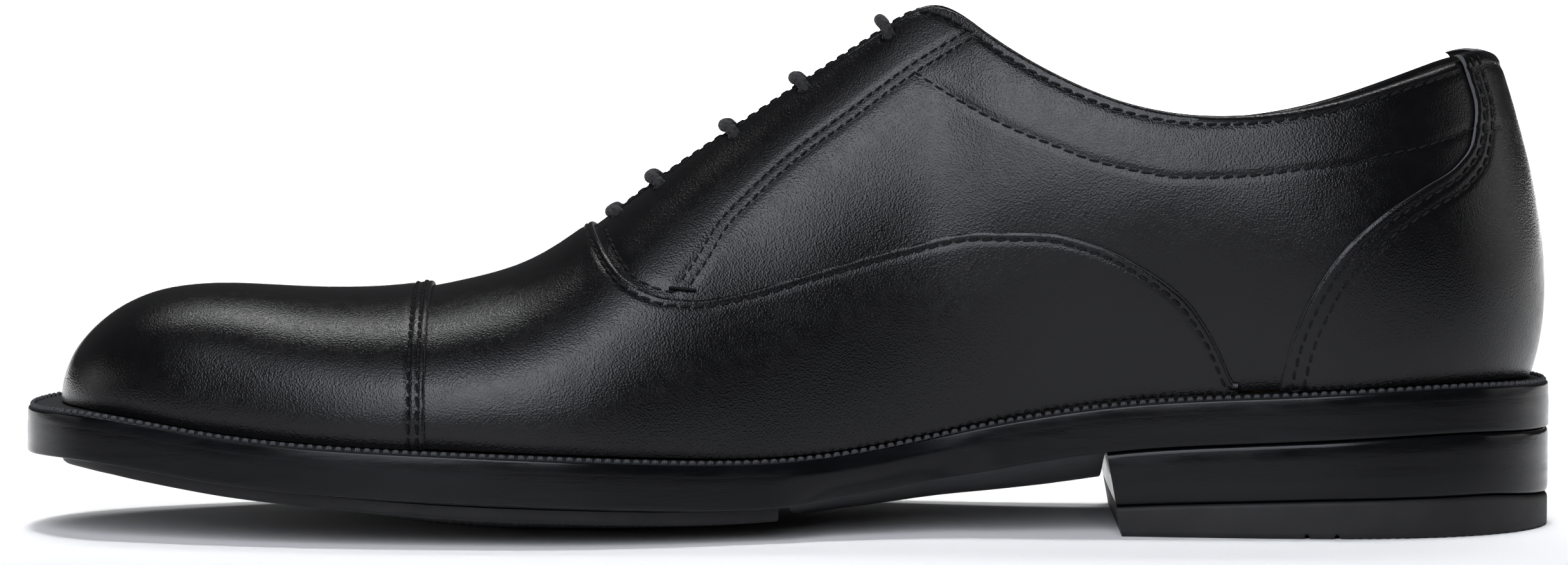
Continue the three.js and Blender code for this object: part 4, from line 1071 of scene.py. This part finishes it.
def counter_piece():
    """The counter, whose top edge is rolled over the collar."""
    lip, drop = ROLL.values()

    def grid(side):
        v = np.concatenate([np.linspace(0, lip, 86), np.linspace(lip, 1.0, 12)[1:]])
        front = counter_front(np.minimum(v, 0.99), side)
        f = np.concatenate([[0, 0.004, 0.01, 0.02, 0.035], np.linspace(0.05, 1, 52)])
        u = front[None] + (BACK - front)[None] * f[:, None]
        u[-1] = BACK
        return u, np.broadcast_to(v, u.shape).copy()

    def outer(u, v):
        over = np.clip((v - lip) / (1 - lip), 0, 1)
        return -drop * (1 - np.sqrt(np.clip(1 - over**2, 0, 1)))

    def inner(u, v):
        return outer(u, v) - LEATHER

    dents = dents_of(rows_on("counter", "topline", "collar"), [counter_edge(side) for side in SIDES], 0)
    piece = shell("counter_leather", both_sides(grid), outer, inner, UPPER, dents=dents)
    settle(piece, "calf", "counter")


def lining(node, patches, outer, inner):
    settle(shell(f"{node}_leather", patches, outer, inner, INSIDE), "lining", node)


def linings():
    def quarter_outer(u, v):
        return lining_depth(u, v) + LINING_THICK

    front, heel = LINING["front"], LINING["heel"]
    us = from_tip(rib_of(TOE_LINING_END), 6, LINING_CELL)
    lining("vamp_lining", both_sides(lambda side: rows_up(us, 1, 48)), front[0] - GAP, front[1])
    for side, word in SIDES.items():
        us = even_ribs(rib_of(QUARTER_FRONT), LINING_SEAM["quarter"], LINING_CELL, 0.7)
        patch = (side, *rows_up(us, lip_height(us, -STEP) - LIP_SINK, 56))
        lining(f"quarter_lining_{word}", [patch], quarter_outer, lining_depth)
    us = even_ribs(LINING_SEAM["heel"], BACK, 1.4, 0.7)
    us[-1] = BACK
    lip = lip_height(np.minimum(us, LINING_SEAM["last_lip"]), -STEP) - LIP_SINK
    lining("heel_lining", both_sides(lambda side: rows_up(us, lip, 56)), heel[0] - GAP, heel[1])


def tongue_piece():
    base, depth, thick, crown, foot, top, edge = TONGUE.values()
    near, far = rib_of(foot + 1), rib_of(foot + 9)

    def outer(u, v):
        return -mix(base, depth - crown * smooth_step(0.93, 0.99, v), smooth_step(near, far, u))

    def inner(u, v):
        """Skived thin towards its edges."""
        full = smooth_step(edge, edge + 0.08, v) * (1 - smooth_step(top - 0.6, top, u))
        return outer(u, v) - mix(0.8, thick, full)

    us = even_ribs(rib_of(foot), top, 1.2, 0.95)
    patches = both_sides(lambda side: rows_up(us, 1, np.linspace(edge, 1, 34)))
    piece = shell("tongue_leather", patches, outer, inner, [CALF, LINING_LEATHER, CUT_EDGE_PAINTED_HIGHLIGHT], closed=True)
    settle(piece, "calf", "tongue", body="tongue")


# ---- stitches


def capsule():
    """One stitch along +X, a millimetre long and wide: a rounded bar that dips at its ends."""
    rings, turns = [], np.linspace(0, 2 * math.pi, 9)[:-1]
    for t in (-0.5, -0.46, -0.36, -0.15, 0.15, 0.36, 0.46, 0.5):
        fat = max(math.sqrt(max(1 - (abs(t) / 0.5) ** 4, 0)) * 0.5, 0.06)
        dip = -9 * max(abs(t) - 0.28, 0) ** 2
        rings.append([(t, fat * math.cos(a), fat * math.sin(a) + dip) for a in turns])
    ids = np.arange(len(rings) * len(turns)).reshape(len(rings), len(turns))
    across = np.roll(ids, -1, axis=1)
    quads = np.stack([ids[:-1], across[:-1], across[1:], ids[1:]], -1).reshape(-1, 4).tolist()
    return np.array(rings).reshape(-1, 3), quads + [ids[0][::-1].tolist(), ids[-1].tolist()]


STITCH_POINTS, STITCH_FACES = capsule()
STITCH_LEAN = 0.1  # how far each one turns across its row, in radians
STITCH_SINK = 0.1  # how far its middle lies in the leather


def on_line(line, along, at):
    """A line's point, or the normal there, at this length along it."""
    return np.array([np.interp(at, along, column) for column in line.T])


def one_stitch(line, normals, along, at, spec, lift):
    """The points of one stitch, laid on its row and leaning across it."""
    t = unit(on_line(line, along, at + 0.4) - on_line(line, along, at - 0.4))
    n = on_line(normals, along, at)
    n = unit(n - t * (n @ t))
    side = np.cross(n, t)
    c, s = math.cos(STITCH_LEAN), math.sin(STITCH_LEAN)
    local = STITCH_POINTS * [spec["length"], 2 * spec["radius"], 2 * spec["radius"]]
    turned = local @ np.array([t * c + side * s, side * c - t * s, n])
    return on_line(line, along, at) + n * lift + turned


def stitch_mesh(name, rows, spec, look=THREAD):
    """One mesh of stitches along rows of (points, normals)."""
    points, faces = [], []
    for line, normals in rows:
        along = lengths(line)
        count = int(along[-1] / spec["pitch"])
        for k in range(count):
            lift = 0.018 * math.sin(12.9898 * k + 78.233 * len(points))
            at = (k + 0.5) * along[-1] / count
            faces += [[i + len(STITCH_POINTS) * len(points) for i in face] for face in STITCH_FACES]
            points.append(one_stitch(line, normals, along, at, spec, lift))
    settle(mesh_object(name, np.concatenate(points), faces, [look]), "lace")


def laid(rows, depth):
    return [(row.at(depth), row.normals()) for row in rows]


def upper_stitches():
    """The rows, and the short thick bar of thread at the foot of each facing's double row."""

    def sew(kind, depth, spec=STITCH):
        stitch_mesh(f"{kind}_stitches", laid(rows_on(kind), depth - STITCH_SINK), spec)

    sew("cap", CAP_RISE)
    sew("vamp", 0)
    sew("counter", 0)
    sew("facing", -STEP, {"pitch": 2.2, "length": 1.75, "radius": 0.22})
    sew("throat", -STEP)
    feet = [seen_line([(-23.6, 50.9), (-18.6, 50.3)], side, 12) for side in SIDES]
    bars = [bar for foot in feet for lift in (0, 0.25, 0.5) for bar in laid([foot], -STEP + 0.05 + lift)]
    stitch_mesh("bartacks", bars, {"pitch": 0.9, "length": 1.6, "radius": 0.32})
    sew("collar", -STEP, {**STITCH, "radius": 0.24})
    sew("topline", -STEP + 0.02)


toe_cap()
vamp_piece()
for side in SIDES:
    quarter_piece(side)
counter_piece()
linings()
tongue_piece()
upper_stitches()

# ---- the sole

SOLE_PLAN = [
    (-154, -6, -6), (-152.8, -15.5, 3.5), (-149.3, -23.6, 11.9), (-143.6, -30.9, 19.8),
    (-136, -35.8, 26.5), (-126, -39.8, 32.4), (-111, -44.8, 39), (-92, -49.3, 45.4), (-70, -52.1, 50.3),
    (-46, -52.5, 52.7), (-22, -47.7, 51.6), (2, -39, 46.4), (25, -31.6, 41), (46, -28.6, 37.2),
    (66, -29.2, 35.6), (86, -31.8, 35.2), (104, -33.8, 34.6), (121, -33.2, 32.4), (135, -28.8, 27.4),
    (145.5, -21, 19.2), (151.9, -11, 9), (154, -1, -1),
]
SOLE_END = len(SOLE_PLAN) - 1
PLAN = [smooth_curve(range(SOLE_END + 1), [row[c] for row in SOLE_PLAN], c == 0, c == 0) for c in range(3)]
CAMBER = curve_of([
    (-150, 0), (-145, 0.7), (-133, 2.9), (-100, 4.6), (-67, 8.6), (-45, 8.4), (-16, 6.5), (0, 5.2),
    (18, 5.3), (35, 6.4), (53, 7.6), (64, 7.5),
])
LIFT_TOP = steady_curve([(63, 5.9), (86, 6.8), (112, 7.6), (138, 7.9), (154, 6.4)])


def sole_edge(t, side):
    return np.stack([PLAN[0](t), PLAN[1 if side == MEDIAL else 2](t)], -1)


def feather_edge(u, side):
    return np.stack([rib_curve[0](u), rib_curve[1 if side == MEDIAL else 2](u)], -1)


def inset(outline, t, side, distance):
    """Plan points moved inwards, square to their outline."""
    end = BACK if outline is feather_edge else SOLE_END
    along = unit(outline(np.minimum(t + 0.01, end), side) - outline(np.maximum(t - 0.01, 0), side))
    inward = np.stack([side * along[:, 1], -side * along[:, 0]], -1)
    return outline(t, side) + inward * np.broadcast_to(distance, t.shape)[:, None]


def sole_at(x):
    return float(root(lambda t: PLAN[0](t) - x, np.array(0.01), np.array(float(SOLE_END))))


def edge_rings(ts, side, levels, outline=sole_edge):
    """Points down an edge at each station. Each level has an inset and a height, which
    follow x and the side."""
    x = outline(ts, side)[:, 0]
    columns = []
    for distance, height in levels:
        p = inset(outline, ts, side, depth_at(distance, x, side))
        columns.append(np.column_stack([p, height(p[:, 0])]))
    return np.stack(columns, 1)


def slab_rings(ts, levels, across, bottom=None, top=None, outline=sole_edge):
    """Rings round a slab. bottom and top give the drop inside them, from the share across,
    -1 to 1."""

    def span(a, b, drop):
        p = a[:, None] * (1 - share)[None, :, None] + b[:, None] * share[None, :, None]
        if drop:
            p[..., 2] -= drop(p[..., 0], p[..., 1], (2 * share - 1)[None])
        return p

    share = np.linspace(0, 1, across)[1:-1]
    medial, lateral = (edge_rings(ts, side, levels, outline) for side in SIDES)
    under = span(lateral[:, -1], medial[:, -1], bottom)
    over = span(medial[:, 0], lateral[:, 0], top)
    return np.concatenate([lateral, under, medial[:, ::-1], over], 1)


def sole_piece(name, rings, looks, levels, across, pick=(0, 0, 0)):
    """A slab whose edge, underside and upper side each take a look."""
    edge, under, over = pick
    parts = [edge] * (levels - 1) + [under] * (across - 1) + [edge] * (levels - 1) + [over] * (across - 1)
    return loft(name, rings, looks, lambda k: parts[k])


def band_low(x):
    return WELT_TOP(x) - SOLE_BAND


def waist_bevel(x, side):
    """The medial waist is rounded under, from the half sole to the heel."""
    if side == LATERAL:
        return 0 * x
    return 4.5 * smooth_step(-4, 12, x) * (1 - smooth_step(26, 42, x))


def waist_round(x, side, drop):
    """The upper part of that edge leans back a little, so that the waist is rounded."""
    return 0.16 * waist_bevel(x, side) * max(1 - drop / 4.0, 0)


def outsole_bow(x):
    depth = np.maximum(CAMBER(x), 0)
    step = smooth_step(HALF_SOLE["back"] - 0.3, HALF_SOLE["back"] + 0.1, x)
    bare = mix(np.maximum(depth - HALF_SOLE["thick"], 0), depth, step)
    return bare * (1 - smooth_step(BREAST["x"] - 0.6, BREAST["x"] - 0.1, x))


# From the upper outwards and down the edge: how far in, and how far below the welt's top.
WELT_PROFILE = [(10, 0), (6, 0), (3.4, 0.02), (2.5, 0.16), (1.9, 0.24), (1.4, 0.26), (0.9, 0.3), (0.6, 0.36),
                (0.35, 0.46), (0.18, 0.62), (0.1, 0.9), (0.06, WELT_THICK), (10, WELT_THICK)]
WELT_FACES = (0, 1, 2, 3, 4, 5, 6, 7, 12)  # the profile's stretches that aren't its dressed edge


def welt_piece():
    """The welt: a ring with a softly rounded outer edge."""
    t = even_stations(sole_edge, 0, SOLE_END, 1.0)
    levels = [(lambda x, side, d=d, z=z: d + waist_round(x, side, z), lambda x, z=z: WELT_TOP(x) - z)
              for d, z in WELT_PROFILE]
    rings = np.concatenate([edge_rings(t, MEDIAL, levels), edge_rings(t[::-1][1:-1], LATERAL, levels)])
    n, m = rings.shape[:2]
    ids = np.arange(n * m).reshape(n, m)
    quads = grid_quads(np.concatenate([ids, ids[:1]]), closed=True)
    picks = [0 if j in WELT_FACES else 1 for j in range(m)] * n
    piece = mesh_object("welt_strip", rings.reshape(-1, 3), quads.tolist(), [WELT_LEATHER, EDGE], picks)
    settle(piece, "edge", "welt")


def welt_stitches():
    rows = []
    for side in SIDES:
        t = even_stations(sole_edge, 0.02, SOLE_END - 0.15, 0.7)
        p = inset(sole_edge, t, side, WELT_STITCH["inset"])
        line = np.column_stack([p, WELT_TOP(p[:, 0]) + 0.02])
        rows.append((line, np.tile([0.0, 0.0, 1.0], (len(line), 1))))
    stitch_mesh("welt_stitches", rows, WELT_STITCH, WELT_THREAD_PAINTED_HIGHLIGHT)


def outsole_piece():
    ts = np.concatenate([
        even_stations(sole_edge, 0.02, sole_at(-0.8), 1.1),
        [sole_at(x) for x in (-0.5, -0.35, -0.2, -0.05, 0.1, 0.4)],
        even_stations(sole_edge, sole_at(1), sole_at(BREAST["x"] - 0.8), 1.1),
        [sole_at(BREAST["x"] - d) for d in (0.6, 0.45, 0.3, 0.15, 0.05)],
        even_stations(sole_edge, sole_at(BREAST["x"] + 0.3), SOLE_END - 0.02, 1.3),
    ])
    shares = [0, 0.08, 0.18, 0.3, 0.45, 0.6, 0.75, 0.86, 0.93, 0.955, 0.975, 0.99, 1]

    def edge_inset(s):
        upper = 0.06 * max(1 - s / 0.3, 0) ** 2
        corner = 0.5 * (1 - math.sqrt(1 - (max(s - 0.93, 0) / 0.07) ** 2))

        def at(x, side):
            return upper + corner + waist_round(x, side, 3 + 6 * s) + waist_bevel(x, side) * s**1.7

        return at

    def edge_height(s):
        return lambda x: WELT_TOP(x) - mix(WELT_THICK + 0.02, SOLE_BAND, s)

    def bow(x, y, f):
        return outsole_bow(x) * (1 - f * f)

    levels = [(edge_inset(s), edge_height(s)) for s in shares]
    rings = slab_rings(ts, levels, 40, bottom=bow)
    piece = sole_piece("outsole_leather", rings, [EDGE, SOLE_LEATHER], len(levels), 40, (0, 1, 0))
    settle(piece, "edge", "outsole")


def half_sole_piece():
    reach, across, thick = 0.9, 150, HALF_SOLE["thick"]
    ts = even_stations(sole_edge, 0.5, sole_at(HALF_SOLE["back"] - 0.6), 0.53)

    def hollow(x):
        return np.maximum(CAMBER(x) - thick, 0)

    def tread(x, y, f):
        """A fine diagonal tread inside a plain rim."""
        across, along = smooth_step(0.0, 0.05, 0.97 - np.abs(f)), smooth_step(-143, -139, x)
        rim = across * along * (1 - smooth_step(-6, -4, x))
        ridges = np.sin(2 * np.pi * (x + y) / TREAD_PITCH) * np.sin(2 * np.pi * (x - y) / TREAD_PITCH)
        return TREAD_DEPTH * rim * smooth_step(-0.15, 0.15, ridges)

    def bow(x, y, f):
        return hollow(x) * reach**2 * (1 - f * f)

    def lower(x, y, f):
        return bow(x, y, f) - tread(x, y, f)

    def level(distance, drop):
        def margin(x, side):
            toe, rest = HALF_SOLE["toe_inset"], HALF_SOLE["inset"]
            return mix(toe, rest, smooth_step(-150, -130, x)) + distance

        return margin, lambda x: band_low(x) - hollow(x) * (1 - reach**2) - drop

    edge = [(0, 0), (0, thick - 0.8), (0.15, thick - 0.4), (0.5, thick - 0.1), (0.9, thick)]
    rings = slab_rings(ts, [level(*step) for step in edge], across, bottom=lower, top=bow)
    settle(sole_piece("half_sole_rubber", rings, [RUBBER], len(edge), across), "rubber", "half_sole")


def lean_breast(rings):
    """Slopes the heel's front face."""
    near = 1 - smooth_step(BREAST["x"], BREAST["x"] + 14, rings[..., 0])
    rings[..., 0] += near * BREAST["slope"] * np.maximum(band_low(BREAST["x"]) - rings[..., 2], 0)
    return rings


def heel_stations(spacing):
    """Stations from the heel's breast to its back, with a crisp corner at the breast."""
    start = sole_at(BREAST["x"])
    return np.concatenate([[start, start + 0.012, start + 0.03],
                           even_stations(sole_edge, start + 0.06, SOLE_END - 0.02, spacing)])


def heel_block_piece():
    def top(x):
        return band_low(x) - 0.22

    def low(x):
        return LIFT_TOP(x) + 0.22

    corner = [(0.9, 0), (0.5, 0.15), (0.22, 0.5), (0.1, 1.0)]
    levels = [(d, lambda x, z=z: top(x) - z) for d, z in corner]
    levels += [(0.1, lambda x, s=s: mix(top(x) - 1, low(x) + 1, s)) for s in (0.3, 0.6, 0.9)]
    levels += [(d + 0.1, lambda x, z=z: low(x) + z) for d, z in reversed(corner)]
    rings = lean_breast(slab_rings(heel_stations(1.2), levels, 24))
    settle(sole_piece("heel_stack", rings, [EDGE], len(levels), 24), "edge", "heel_block")


def top_lift_piece():
    def nick(x):
        """Two nicks in the lower edge, and a fine tread behind them."""
        nicks = sum(np.exp(-(((x - at) / 0.55) ** 4)) for at in (103, 109))
        teeth = smooth_step(112, 114, x) * smooth_step(-0.2, 0.3, np.sin(2 * np.pi * x / 1.9))
        return 0.85 * nicks + 0.16 * teeth

    def height(z):
        return lambda x: np.full(x.shape, z) + (nick(x) if z < 0.5 else 0)

    def lower(x, y, f):
        return nick(x) * smooth_step(0.03, 0.09, 1 - np.abs(f))

    corner = [(0.9, 0.0), (0.5, 0.15), (0.25, 0.5), (0.2, 1.0)]
    levels = [(d, lambda x, z=z: LIFT_TOP(x) - z) for d, z in corner]
    levels += [(d, height(z)) for d, z in ((0.2, 3.0), (0.2, 1.2), (0.22, 0.45), (0.4, 0.12), (0.75, 0.0))]
    rings = lean_breast(slab_rings(heel_stations(0.35), levels, 40, bottom=lower))
    piece = sole_piece("top_lift_rubber", rings, [RUBBER], len(levels), 40)
    angles = np.radians([-80, -40, 0, 40, 80])
    nails = [(112 + 32 * math.cos(a), -0.5 + 23 * math.sin(a)) for a in angles]
    pierce(piece, [sweep("peg", [(x, y, -3), (x, y, 16)], NAIL_HOLE, [RUBBER], 24) for x, y in nails])
    settle(piece, "rubber", "top_lift")


def insock_piece():
    ts = even_stations(feather_edge, 0.35, BACK - 0.05, 2)
    inset_by, top = INSOCK["inset"] - 0.6, INSOCK["low"] + INSOCK["thick"]
    edge = [(0.5, top), (0.12, top - 0.12), (0, top - 0.45), (0, INSOCK["low"])]
    levels = [(inset_by + d, lambda x, z=z: WELT_TOP(x) + z) for d, z in edge]
    rings = slab_rings(ts, levels, 30, outline=feather_edge)
    looks = [LINING_LEATHER, FLESH, LINING_LEATHER]
    settle(sole_piece("insock_leather", rings, looks, len(edge), 30, (2, 1, 0)), "lining", "insock")


welt_piece()
welt_stitches()
outsole_piece()
half_sole_piece()
heel_block_piece()
top_lift_piece()
insock_piece()

# ---- the hidden parts

HIDDEN = {
    FIBRE: ["toe_puff", "vamp_interlining", "heel_stiffener"],
    BOARD: ["insole_board"],
    CORK: ["cork_filler"],
    STEEL: ["shank"],
    BRASS: [f"eyelet_{word}_{row}" for word in SIDES.values() for row in range(1, 6)]
    + [f"heel_nail_{i}" for i in range(1, 6)],
}
for look, names in HIDDEN.items():
    for name in names:
        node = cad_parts[name]
        node.data.materials.clear()
        node.data.materials.append(look)
